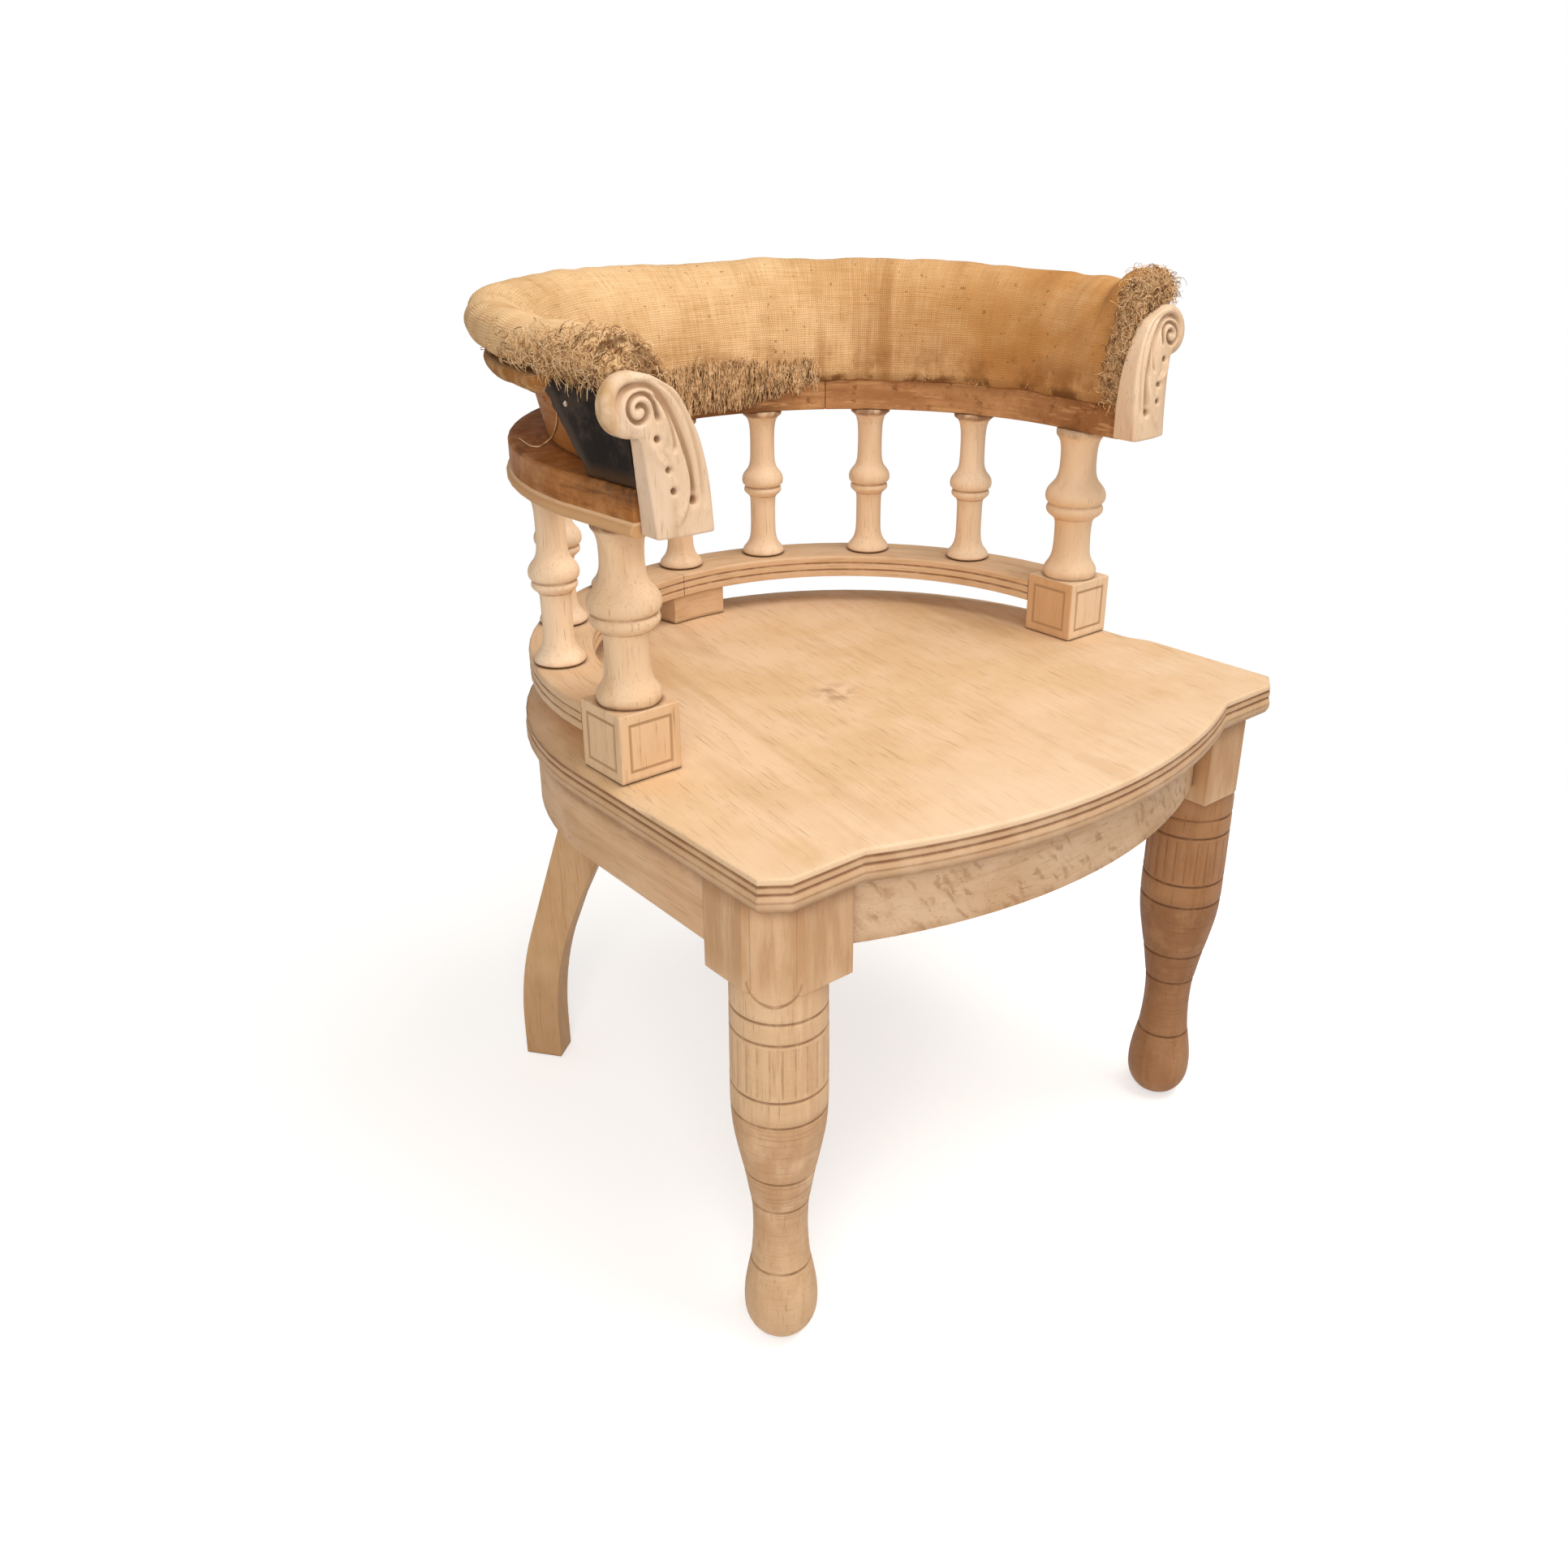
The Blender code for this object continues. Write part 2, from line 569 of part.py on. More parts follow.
def make_side_rail(side, sign, leg):
    """Side rail: straight from the front leg, then curved to the middle of the rear leg."""
    start = LEG_Y + LEG_BLOCK_WIDTH / 2 + CLEARANCE
    share = (start - EAR_CANT_DEPTH) / (SEAT_REAR_CENTRE_Y - EAR_CANT_DEPTH)
    front_x = SEAT_HALF_WIDTH + (SEAT_WAIST_HALF_WIDTH - SEAT_HALF_WIDTH) * share - SIDE_RAIL_SETBACK
    centre = (0, SEAT_REAR_CENTRE_Y)
    stop = pi / 2 - REAR_LEG_ANGLE - CLEARANCE / (2 * SIDE_RAIL_INNER_RADIUS)
    outline = [(front_x, start)]
    outline += arc(SIDE_RAIL_OUTER_RADIUS, 0, stop, RAIL_STEPS, centre)
    outline += arc(SIDE_RAIL_INNER_RADIUS, stop, 0, RAIL_STEPS, centre)
    outline.append((front_x - RAIL_THICKNESS, start))
    outline = [(sign * x, y) for x, y in outline]
    rail = place(side + "_seat_rail", prism(outline, RAIL_FOOT, RAIL_TOP), PALE_OAK)
    size = (RAIL_TENON_THICKNESS, 2 * RAIL_TENON_LENGTH, RAIL_TENON_HEIGHT)
    centre_x = sign * (front_x - RAIL_THICKNESS / 2)
    tenon(rail, leg, size, (centre_x, start, (RAIL_FOOT + RAIL_TOP) / 2))
    return rail


def make_back_rail():
    """Curved rail between the rear legs."""
    centre = (0, SEAT_REAR_CENTRE_Y)
    reach = REAR_LEG_ANGLE - CLEARANCE / (2 * SIDE_RAIL_INNER_RADIUS)
    outline = arc(SIDE_RAIL_OUTER_RADIUS, pi / 2 - reach, pi / 2 + reach, RAIL_STEPS, centre)
    outline += arc(SIDE_RAIL_INNER_RADIUS, pi / 2 + reach, pi / 2 - reach, RAIL_STEPS, centre)
    return place("back_seat_rail", prism(outline, RAIL_FOOT, RAIL_TOP), PALE_OAK)


def rear_leg_reach(z):
    """Distance of the rear leg's middle line from the seat's rear centre at a height."""
    if z <= REAR_FOOT_UPRIGHT:
        return REAR_FOOT_REACH
    if z <= REAR_BEND_TOP:
        lean = asin((z - REAR_FOOT_UPRIGHT) / REAR_SWEEP_RADIUS)
        return REAR_FOOT_REACH - REAR_SWEEP_RADIUS * (1 - cos(lean))
    top_reach = REAR_FOOT_REACH - REAR_SWEEP_RADIUS * (1 - cos(REAR_SWEEP_ANGLE))
    return top_reach - (z - REAR_BEND_TOP) * tan(REAR_SWEEP_ANGLE)


def rear_leg_inside(z):
    """Reach of the rear leg's inner edge, which flares below the seat rail."""
    flare = smooth_step((z - REAR_BEND_TOP) / (RAIL_FOOT - REAR_BEND_TOP)) * REAR_LEG_TOP_FLARE
    return rear_leg_reach(z) - REAR_LEG_WIDTH / 2 - flare


def make_rear_leg(side, sign, rails):
    """Swept leg cut from a board, shouldered under the seat rail and screwed to it from inside."""
    heights = [0.0, REAR_FOOT_UPRIGHT]
    bend_steps = 8
    for step in range(1, bend_steps + 1):
        heights.append(REAR_FOOT_UPRIGHT + (REAR_BEND_TOP - REAR_FOOT_UPRIGHT) * step / bend_steps)
    flare_steps = 5
    for step in range(1, flare_steps + 1):
        heights.append(REAR_BEND_TOP + (RAIL_FOOT - REAR_BEND_TOP) * step / flare_steps)
    inside = rear_leg_inside(RAIL_FOOT)
    outline = [(rear_leg_reach(z) + REAR_LEG_WIDTH / 2, z) for z in heights]
    outline += [(SIDE_RAIL_OUTER_RADIUS, RAIL_FOOT), (SIDE_RAIL_OUTER_RADIUS, RAIL_TOP), (inside, RAIL_TOP)]
    outline += [(rear_leg_inside(z), z) for z in reversed(heights)]
    angle = sign * REAR_LEG_ANGLE
    radial = Vector((sin(angle), cos(angle), 0))
    tangent = radial.cross(Vector((0, 0, 1)))
    turn = Matrix((radial, (0, 0, 1), tangent)).transposed().to_4x4()
    turn.translation = (0, SEAT_REAR_CENTRE_Y, 0)
    board = prism(outline, -REAR_LEG_THICKNESS / 2, REAR_LEG_THICKNESS / 2, turn)
    leg = place("rear_leg_" + side, board, PALE_OAK)
    shoulder = arc(SIDE_RAIL_INNER_RADIUS - CLEARANCE, 0, pi, 2 * RING_STEPS, (0, SEAT_REAR_CENTRE_Y))
    far = SEAT_WAIST_HALF_WIDTH + CUT_OVERSHOOT
    shoulder += [(-far, SEAT_REAR_CENTRE_Y), (-far, SEAT_REAR_CENTRE_Y + far)]
    shoulder += [(far, SEAT_REAR_CENTRE_Y + far), (far, SEAT_REAR_CENTRE_Y)]
    housing = prism(shoulder, RAIL_FOOT - CLEARANCE, RAIL_TOP + CUT_OVERSHOOT)
    shape(leg, place_cutter("rear_leg_housing_" + side, housing), "DIFFERENCE")
    hosts = [leg] + rails
    length = SIDE_RAIL_INNER_RADIUS - inside + LEG_SCREW_BITE
    for number, offset in enumerate((-LEG_SCREW_SPREAD / 2, LEG_SCREW_SPREAD / 2), 1):
        spot = Vector((0, SEAT_REAR_CENTRE_Y, LEG_SCREW_Z)) + radial * inside + tangent * offset
        aim = radial.to_track_quat("Z", "X").to_matrix().to_4x4()
        aim.translation = spot
        head = LEG_SCREW_HEAD_HEIGHT
        profile = [(0, 0), (LEG_SCREW_HEAD_RADIUS * 0.8, 0), (LEG_SCREW_HEAD_RADIUS, head * 0.5)]
        profile += [(LEG_SCREW_HEAD_RADIUS, head), (LEG_SCREW_RADIUS, head)]
        profile += [(LEG_SCREW_RADIUS, length * 0.85), (0, length)]
        screw = turned(profile, SCREW_SIDES)
        bmesh.ops.transform(screw, matrix=aim, verts=screw.verts)
        place("rear_leg_screw_%s_%d" % (side, number), screw, STEEL)
        bore = rod(LEG_SCREW_RADIUS + CLEARANCE, 0, length + CLEARANCE, 0, 0)
        bmesh.ops.transform(bore, matrix=aim, verts=bore.verts)
        cutter = place_cutter("screw_hole_%s_%d" % (side, number), bore)
        for host in hosts:
            shape(host, cutter, "DIFFERENCE")
        sink = rod(LEG_SCREW_HEAD_RADIUS + CLEARANCE, -CUT_OVERSHOOT, head + CLEARANCE, 0, 0)
        bmesh.ops.transform(sink, matrix=aim, verts=sink.verts)
        shape(leg, place_cutter("screw_sink_%s_%d" % (side, number), sink), "DIFFERENCE")
    return leg


def make_glue_blocks():
    """Blocks glued in the corner between the seat and its rails."""
    top = RAIL_TOP
    size = (GLUE_BLOCK_LENGTH, GLUE_BLOCK_WIDTH, GLUE_BLOCK_WIDTH)
    z = top - GLUE_BLOCK_WIDTH / 2
    half_length = GLUE_BLOCK_LENGTH / 2
    inner_bow = BOW_RADIUS - FRONT_RAIL_SETBACK - RAIL_THICKNESS
    reach = sqrt(inner_bow ** 2 - half_length ** 2) - CLEARANCE - GLUE_BLOCK_WIDTH / 2
    for side, sign in SIDES:
        angle = sign * asin(BOW_HALF_WIDTH / inner_bow) / 2
        spot = (reach * sin(angle), BOW_CENTRE_Y - reach * cos(angle), z)
        place("glue_block_front_" + side, block(size, spot, angle), HIDDEN_OAK)
    ring_reach = sqrt(SIDE_RAIL_INNER_RADIUS ** 2 - half_length ** 2) - CLEARANCE - GLUE_BLOCK_WIDTH / 2
    for side, angle in (("left", -pi / 2), ("back", 0), ("right", pi / 2)):
        spot = ring_point(ring_reach, angle, z, SEAT_REAR_CENTRE_Y)
        place("glue_block_" + side, block(size, spot, -angle), HIDDEN_OAK)


def make_arm_post(side, sign, seat):
    """Turned post on a square plinth, with a round tenon at each end."""
    half = PLINTH_WIDTH / 2
    foot = SEAT_HEIGHT + CLEARANCE
    head = ARM_UNDERSIDE - CLEARANCE
    rise = head - PLINTH_TOP
    mid = PLINTH_TOP + rise * 0.5
    rings = []
    for z in (foot - POST_FOOT_TENON_LENGTH, foot):
        rings.append([circle_point(POST_FOOT_TENON_RADIUS, i, POST_SIDES, z) for i in range(POST_SIDES)])
    for width, z in ((half, foot), (half, PLINTH_TOP - PLINTH_CHAMFER), (half - PLINTH_CHAMFER, PLINTH_TOP)):
        rings.append([square_point(width, i, POST_SIDES, z) for i in range(POST_SIDES)])
    knots = [
        (POST_BASE_RADIUS * 0.90, PLINTH_TOP),
        (POST_BASE_RADIUS * 0.90, PLINTH_TOP + rise * 0.015),
        (POST_BASE_RADIUS * 0.93, PLINTH_TOP + rise * 0.05),
        (POST_BASE_RADIUS * 0.80, PLINTH_TOP + rise * 0.09),
        (POST_SHAFT_RADIUS * 1.10, PLINTH_TOP + rise * 0.145),
        (POST_SHAFT_RADIUS, PLINTH_TOP + rise * 0.20),
        (POST_SHAFT_RADIUS, mid - rise * 0.115),
        (POST_SHAFT_RADIUS * 1.15, mid - rise * 0.09),
        (POST_RING_RADIUS, mid - rise * 0.05),
        (POST_RING_RADIUS, mid - rise * 0.015),
        (POST_RING_RADIUS * 0.94, mid + rise * 0.005),
        (POST_BULB_RADIUS, mid + rise * 0.03),
        (POST_BULB_RADIUS, mid + rise * 0.07),
        (POST_BULB_RADIUS * 0.90, mid + rise * 0.11),
        (POST_SHAFT_RADIUS * 1.18, mid + rise * 0.15),
        (POST_SHAFT_RADIUS * 0.98, mid + rise * 0.19),
        (POST_SHAFT_RADIUS * 0.98, head - rise * 0.13),
        (POST_SHAFT_RADIUS * 1.08, head - rise * 0.075),
        (POST_COLLAR_RADIUS, head - rise * 0.04),
        (POST_COLLAR_RADIUS, head),
        (POST_HEAD_TENON_RADIUS, head),
        (POST_HEAD_TENON_RADIUS, ARM_TOP - ARM_THICKNESS * 0.5),
    ]
    for radius, z in knots:
        rings.append([circle_point(radius, i, POST_SIDES, z) for i in range(POST_SIDES)])
    made = loft(rings)
    bmesh.ops.translate(made, verts=made.verts, vec=(sign * POST_X, POST_Y, 0))
    low = foot - POST_FOOT_TENON_LENGTH - CLEARANCE
    socket(seat, POST_FOOT_TENON_RADIUS, low, SEAT_HEIGHT + CUT_OVERSHOOT, sign * POST_X, POST_Y)
    return place("arm_post_" + side, made, PALE_OAK)


def make_gallery(side, sign, post):
    """Half of the gallery rail, with two grooves on each face, tenoned into the back of its post."""
    groove = GALLERY_GROOVE_WIDTH / 2
    faces = []
    for level in (1 / 3, 2 / 3):
        z = GALLERY_FOOT + GALLERY_THICKNESS * level
        faces += [(0, z - groove), (GALLERY_GROOVE_DEPTH, z), (0, z + groove)]
    edge = GALLERY_EDGE_ROUND
    section = [(GALLERY_INNER_RADIUS, GALLERY_FOOT), (GALLERY_OUTER_RADIUS, GALLERY_FOOT)]
    section += [(GALLERY_OUTER_RADIUS - depth, z) for depth, z in faces]
    section += [(GALLERY_OUTER_RADIUS, GALLERY_TOP - edge), (GALLERY_OUTER_RADIUS - edge, GALLERY_TOP)]
    section += [(GALLERY_INNER_RADIUS + edge, GALLERY_TOP), (GALLERY_INNER_RADIUS, GALLERY_TOP - edge)]
    section += [(GALLERY_INNER_RADIUS + depth, z) for depth, z in reversed(faces)]
    gap = CLEARANCE / (2 * GALLERY_INNER_RADIUS)
    front = PLINTH_BACK_Y + CLEARANCE
    if sign < 0:
        made = bent(section, -pi / 2, GALLERY_JOINT_ANGLE - gap, True, False, front)
    else:
        made = bent(section, GALLERY_JOINT_ANGLE + gap, pi / 2, False, True, front)
    rail = place("gallery_rail_" + side, made, PALE_OAK)
    size = (GALLERY_TENON_WIDTH, 2 * GALLERY_TENON_LENGTH, GALLERY_TENON_HEIGHT)
    centre_x = sign * (GALLERY_INNER_RADIUS + GALLERY_OUTER_RADIUS) / 2
    tenon(rail, post, size, (centre_x, front, (GALLERY_FOOT + GALLERY_TOP) / 2))
    return rail


def make_spacer():
    """Curved block that carries the joint of the gallery rail on the seat's bevelled back."""
    inner = GALLERY_INNER_RADIUS + SPACER_INSET
    outer = (GALLERY_INNER_RADIUS + GALLERY_OUTER_RADIUS) / 2
    low = SEAT_HEIGHT + CLEARANCE
    high = GALLERY_FOOT - CLEARANCE
    section = [(inner, low), (outer, low), (outer, high), (inner, high)]
    return place("gallery_spacer", bent(section, -SPACER_HALF_ANGLE, SPACER_HALF_ANGLE), PALE_OAK)


def make_spindle(number, angle, below, above):
    """Turned spindle with a ball at mid height and a round tenon at each end."""
    foot = GALLERY_TOP + CLEARANCE
    head = ARM_UNDERSIDE - CLEARANCE
    rise = head - foot
    mid = foot + rise * SPINDLE_BULB_SHARE
    profile = [
        (0, foot - SPINDLE_TENON_LENGTH),
        (SPINDLE_TENON_RADIUS, foot - SPINDLE_TENON_LENGTH),
        (SPINDLE_TENON_RADIUS, foot),
        (SPINDLE_BASE_RADIUS, foot),
        (SPINDLE_BASE_RADIUS, foot + rise * 0.025),
        (SPINDLE_BASE_RADIUS * 0.86, foot + rise * 0.055),
        (SPINDLE_SHAFT_RADIUS * 1.10, foot + rise * 0.11),
        (SPINDLE_SHAFT_RADIUS, foot + rise * 0.15),
        (SPINDLE_SHAFT_RADIUS, mid - rise * 0.125),
        (SPINDLE_SHAFT_RADIUS * 1.18, mid - rise * 0.10),
        (SPINDLE_RING_OUT_RADIUS, mid - rise * 0.065),
        (SPINDLE_RING_OUT_RADIUS, mid - rise * 0.035),
        (SPINDLE_RING_OUT_RADIUS * 0.94, mid - rise * 0.015),
        (SPINDLE_BULB_RADIUS, mid + rise * 0.005),
        (SPINDLE_BULB_RADIUS, mid + rise * 0.045),
        (SPINDLE_BULB_RADIUS * 0.92, mid + rise * 0.08),
        (SPINDLE_SHAFT_RADIUS * 1.16, mid + rise * 0.12),
        (SPINDLE_SHAFT_RADIUS * 0.96, mid + rise * 0.16),
        (SPINDLE_SHAFT_RADIUS * 0.96, head - rise * 0.10),
        (SPINDLE_SHAFT_RADIUS * 1.12, head - rise * 0.06),
        (SPINDLE_COLLAR_RADIUS, head - rise * 0.03),
        (SPINDLE_COLLAR_RADIUS, head),
        (SPINDLE_TENON_RADIUS, head),
        (SPINDLE_TENON_RADIUS, head + SPINDLE_TENON_LENGTH),
        (0, head + SPINDLE_TENON_LENGTH),
    ]
    spot = ring_point(SPINDLE_RING_RADIUS, angle, 0)
    made = turned(profile, SPINDLE_SIDES)
    bmesh.ops.translate(made, verts=made.verts, vec=spot)
    low = foot - SPINDLE_TENON_LENGTH - CLEARANCE
    socket(below, SPINDLE_TENON_RADIUS, low, GALLERY_TOP + CUT_OVERSHOOT, spot.x, spot.y)
    high = head + SPINDLE_TENON_LENGTH + CLEARANCE
    socket(above, SPINDLE_TENON_RADIUS, ARM_UNDERSIDE - CUT_OVERSHOOT, high, spot.x, spot.y)
    return place("spindle_%d" % number, made, PALE_OAK)


def arm_section():
    """Section of the arm bow: flat board with a bead along the bottom of its outer edge."""
    bead_top = ARM_UNDERSIDE + ARM_BEAD_HEIGHT
    swell = ARM_OUTER_RADIUS + ARM_BEAD_SWELL
    return [
        (ARM_INNER_RADIUS, ARM_UNDERSIDE),
        (ARM_OUTER_RADIUS, ARM_UNDERSIDE),
        (swell, ARM_UNDERSIDE + ARM_BEAD_HEIGHT * 0.3),
        (swell, ARM_UNDERSIDE + ARM_BEAD_HEIGHT * 0.7),
        (ARM_OUTER_RADIUS, bead_top),
        (ARM_OUTER_RADIUS, ARM_TOP - ARM_EDGE_ROUND),
        (ARM_OUTER_RADIUS - ARM_EDGE_ROUND, ARM_TOP),
        (ARM_INNER_RADIUS + ARM_EDGE_ROUND, ARM_TOP),
        (ARM_INNER_RADIUS, ARM_TOP - ARM_EDGE_ROUND),
    ]


def make_bow(prefix, section, finish):
    """Left, back and right lengths of a bent member, butted at the arm joints."""
    gap = CLEARANCE / (2 * section[0][0])
    joint = ARM_JOINT_ANGLE
    left = bent(section, -pi / 2, -joint - gap, True, False, ARM_END_Y, ARM_TOE_IN)
    back = bent(section, -joint + gap, joint - gap)
    right = bent(section, joint + gap, pi / 2, False, True, ARM_END_Y, ARM_TOE_IN)
    lengths = []
    for name, made in (("left", left), ("back", back), ("right", right)):
        lengths.append(place("%s_%s" % (prefix, name), made, finish))
    return lengths


def console_outline():
    """Face of a scroll console in (x, z): straight foot, outward volute and a convex inner edge."""
    inner = ARM_INNER_RADIUS - ARM_TOE_IN - (CONSOLE_FOOT_WIDTH - ARM_WIDTH)
    outer = inner + CONSOLE_FOOT_WIDTH
    eye = (outer + VOLUTE_OVERHANG, ARM_UNDERSIDE + VOLUTE_LIFT)
    neck = (outer - CONSOLE_NECK_DRAW, ARM_UNDERSIDE + CONSOLE_NECK_LIFT)
    outline = [(inner, ARM_UNDERSIDE), (outer, ARM_UNDERSIDE), neck]
    outline += arc(VOLUTE_RADIUS, VOLUTE_FROM, VOLUTE_TO, VOLUTE_STEPS, eye)
    crown = outline[-1]
    edge_steps = 8
    for step in range(1, edge_steps):
        turn = (pi / 2) * step / edge_steps
        x = inner + (crown[0] - inner) * (1 - sin(turn))
        z = ARM_UNDERSIDE + (crown[1] - ARM_UNDERSIDE) * cos(turn)
        outline.append((x, z))
    return outline


def make_console(side, sign, arm):
    """Scroll console that closes the arm's end, on a tenon of the arm."""
    upright = Matrix(((sign, 0, 0, 0), (0, 0, 1, 0), (0, 1, 0, 0), (0, 0, 0, 1)))
    made = prism(console_outline(), CONSOLE_FRONT_Y, CONSOLE_BACK_Y, upright)
    console = place("scroll_console_" + side, made, PALE_OAK)
    size = (ARM_TENON_WIDTH, 2 * ARM_TENON_LENGTH, ARM_TENON_HEIGHT)
    centre_x = sign * ((ARM_INNER_RADIUS + ARM_OUTER_RADIUS) / 2 - ARM_TOE_IN)
    tenon(arm, console, size, (centre_x, ARM_END_Y, (ARM_UNDERSIDE + ARM_TOP) / 2))
    return console


def core_face(z, offset):
    """Radius of the crest core's leaning inner face at a height, plus an offset outward."""
    return CORE_INNER_FOOT + CORE_LEAN * (z - CORE_FOOT) / CORE_HEIGHT + offset


def core_section():
    """Section of the upright board inside the crest."""
    return [
        (core_face(CORE_FOOT, 0), CORE_FOOT),
        (core_face(CORE_FOOT, CORE_THICKNESS), CORE_FOOT),
        (core_face(CORE_TOP, CORE_THICKNESS), CORE_TOP),
        (core_face(CORE_TOP, 0), CORE_TOP),
    ]


def make_roll():
    """Stuffed roll: a swelling front that laps the arm, a full crown and a lip that hangs clear of the core."""
    inside = -CLEARANCE
    outside = CORE_THICKNESS + CLEARANCE
    top = CORE_TOP + CLEARANCE
    hollow = ROLL_LIP_Z + ROLL_LIP_HOLLOW
    skirt = ARM_TOP - ROLL_SKIRT
    lip_radius = core_face(ROLL_LIP_Z, outside) + ROLL_LIP_REACH
    section = [
        (ARM_INNER_RADIUS - CLEARANCE, skirt),
        (ARM_INNER_RADIUS - CLEARANCE, CORE_FOOT),
        (core_face(CORE_FOOT, inside), CORE_FOOT),
        (core_face(top, inside), top),
        (core_face(top, outside), top),
        (core_face(hollow, outside), hollow),
        (lip_radius - 2 * ROLL_LIP_ROUND, ROLL_LIP_Z + ROLL_LIP_ROUND / 2),
        (lip_radius - ROLL_LIP_ROUND, ROLL_LIP_Z),
        (lip_radius, ROLL_LIP_Z),
    ]
    under_steps = 5
    for step in range(1, under_steps + 1):
        share = step / under_steps
        turn = (pi / 2) * share
        lift = (share + 1 - cos(turn)) / 2
        reach = (share + sin(turn)) / 2
        r = lip_radius + (ROLL_OUTER_RADIUS - lip_radius) * reach
        z = ROLL_LIP_Z + (ROLL_OUTER_Z - ROLL_LIP_Z) * lift
        section.append((r, z))
    crown_steps = 5
    for step in range(1, crown_steps + 1):
        turn = (pi / 2) * step / crown_steps
        r = ROLL_TOP_RADIUS + (ROLL_OUTER_RADIUS - ROLL_TOP_RADIUS) * cos(turn)
        z = ROLL_OUTER_Z + (ROLL_TOP - ROLL_OUTER_Z) * sin(turn)
        section.append((r, z))
    chest_steps = 7
    for step in range(1, chest_steps + 1):
        turn = (pi / 2) * step / chest_steps
        r = ROLL_CHEST_RADIUS + (ROLL_TOP_RADIUS - ROLL_CHEST_RADIUS) * (1 - sin(turn))
        z = ROLL_CHEST_Z + (ROLL_TOP - ROLL_CHEST_Z) * cos(turn)
        section.append((r, z))
    section.append((ROLL_CHEST_RADIUS + ROLL_CHEST_DRAW, skirt))
    made = bent(section, -pi / 2, pi / 2, True, True, ARM_END_Y, ARM_TOE_IN)
    return place("hessian_roll", made, HESSIAN, radians(60))


def make_lining():
    """What is left of the black outside cloth: a torn panel from the left arm's edge up to the roll's lip."""
    low = CORE_FOOT
    high = ROLL_LIP_Z - CLEARANCE
    outline = [
        (ARM_END_Y, low),
        (ARM_END_Y + LINING_FOOT_LENGTH, low),
        (ARM_END_Y + LINING_HEAD_LENGTH, high),
        (ARM_END_Y, high),
    ]
    toe = ARM_TOE_IN / (RING_CENTRE_Y - ARM_END_Y)
    lean = LINING_LEAN / (high - low)
    start = toe * RING_CENTRE_Y + lean * low - ARM_OUTER_RADIUS + LINING_INSET
    upright = Matrix(((-toe, -lean, 1, start), (1, 0, 0, 0), (0, 1, 0, 0), (0, 0, 0, 1)))
    return place("outside_lining", prism(outline, 0, LINING_THICKNESS, upright), BLACK_CLOTH)


seat_board = make_seat_board()
front_legs = [make_front_leg(side, sign) for side, sign in SIDES]
front_rail = make_front_rail(front_legs)
back_rail = make_back_rail()
for front_leg, (side, sign) in zip(front_legs, SIDES):
    side_rail = make_side_rail(side, sign, front_leg)
    make_rear_leg(side, sign, [side_rail, back_rail])
make_glue_blocks()

posts = [make_arm_post(side, sign, seat_board) for side, sign in SIDES]
gallery = [make_gallery(side, sign, post) for post, (side, sign) in zip(posts, SIDES)]
make_spacer()
arms = make_bow("arm_bow", arm_section(), BROWN_OAK)
for arm, (side, sign) in zip((arms[0], arms[2]), SIDES):
    make_console(side, sign, arm)
    tip = ARM_TOP - ARM_THICKNESS * 0.5 + CLEARANCE
    socket(arm, POST_HEAD_TENON_RADIUS, ARM_UNDERSIDE - CUT_OVERSHOOT, tip, sign * POST_X, POST_Y)
for number, degrees_round in enumerate(SPINDLE_ANGLES, 1):
    angle = radians(degrees_round)
    below = gallery[0] if angle < GALLERY_JOINT_ANGLE else gallery[1]
    above = arms[1]
    if abs(angle) > ARM_JOINT_ANGLE:
        above = arms[0] if angle < 0 else arms[2]
    make_spindle(number, angle, below, above)
make_bow("crest_core", core_section(), HIDDEN_OAK)
make_roll()
make_lining()
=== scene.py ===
import random
from math import atan2, cos, exp, hypot, pi, radians, sin

import bmesh
import bpy
from mathutils import Matrix, Vector, kdtree, noise


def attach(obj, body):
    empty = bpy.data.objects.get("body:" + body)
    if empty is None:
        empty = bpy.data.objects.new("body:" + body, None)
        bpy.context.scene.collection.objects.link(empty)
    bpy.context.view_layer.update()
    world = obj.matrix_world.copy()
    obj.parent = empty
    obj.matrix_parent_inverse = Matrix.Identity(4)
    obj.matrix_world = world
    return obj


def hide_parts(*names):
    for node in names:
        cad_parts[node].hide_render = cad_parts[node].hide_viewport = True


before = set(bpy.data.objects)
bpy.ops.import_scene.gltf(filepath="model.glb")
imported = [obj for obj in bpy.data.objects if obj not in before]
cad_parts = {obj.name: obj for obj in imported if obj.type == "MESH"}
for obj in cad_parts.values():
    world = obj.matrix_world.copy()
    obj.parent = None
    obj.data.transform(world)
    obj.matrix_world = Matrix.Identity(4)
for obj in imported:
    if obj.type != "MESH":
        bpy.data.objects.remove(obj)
for stray in ("Cube", "Light", "Camera"):
    if stray in bpy.data.objects:
        bpy.data.objects.remove(bpy.data.objects[stray], do_unlink=True)
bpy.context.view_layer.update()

# The studio: a wide pale floor that keeps the chair's soft shadow, under a white surround.
# A node is added with its settings, and its sockets take plain values or links.


def feed(node, feeds):
    for key, value in feeds.items():
        if isinstance(value, bpy.types.NodeSocket):
            node.id_data.links.new(value, node.inputs[key])
        else:
            node.inputs[key].default_value = value


def add(tree, kind, feeds=None, **settings):
    made = tree.nodes.new("ShaderNode" + kind)
    for key, value in settings.items():
        setattr(made, key, value)
    feed(made, feeds or {})
    return made


def sums(operation, first, second=0.0):
    return add(first.id_data, "Math", {0: first, 1: second}, operation=operation).outputs[0]


def times(first, *others):
    for other in others:
        first = sums("MULTIPLY", first, other)
    return first


def ease(value, low, high, start=0.0, end=1.0):
    feeds = {"Value": value, "From Min": low, "From Max": high, "To Min": start, "To Max": end}
    return add(value.id_data, "MapRange", feeds, interpolation_type="SMOOTHSTEP").outputs[0]


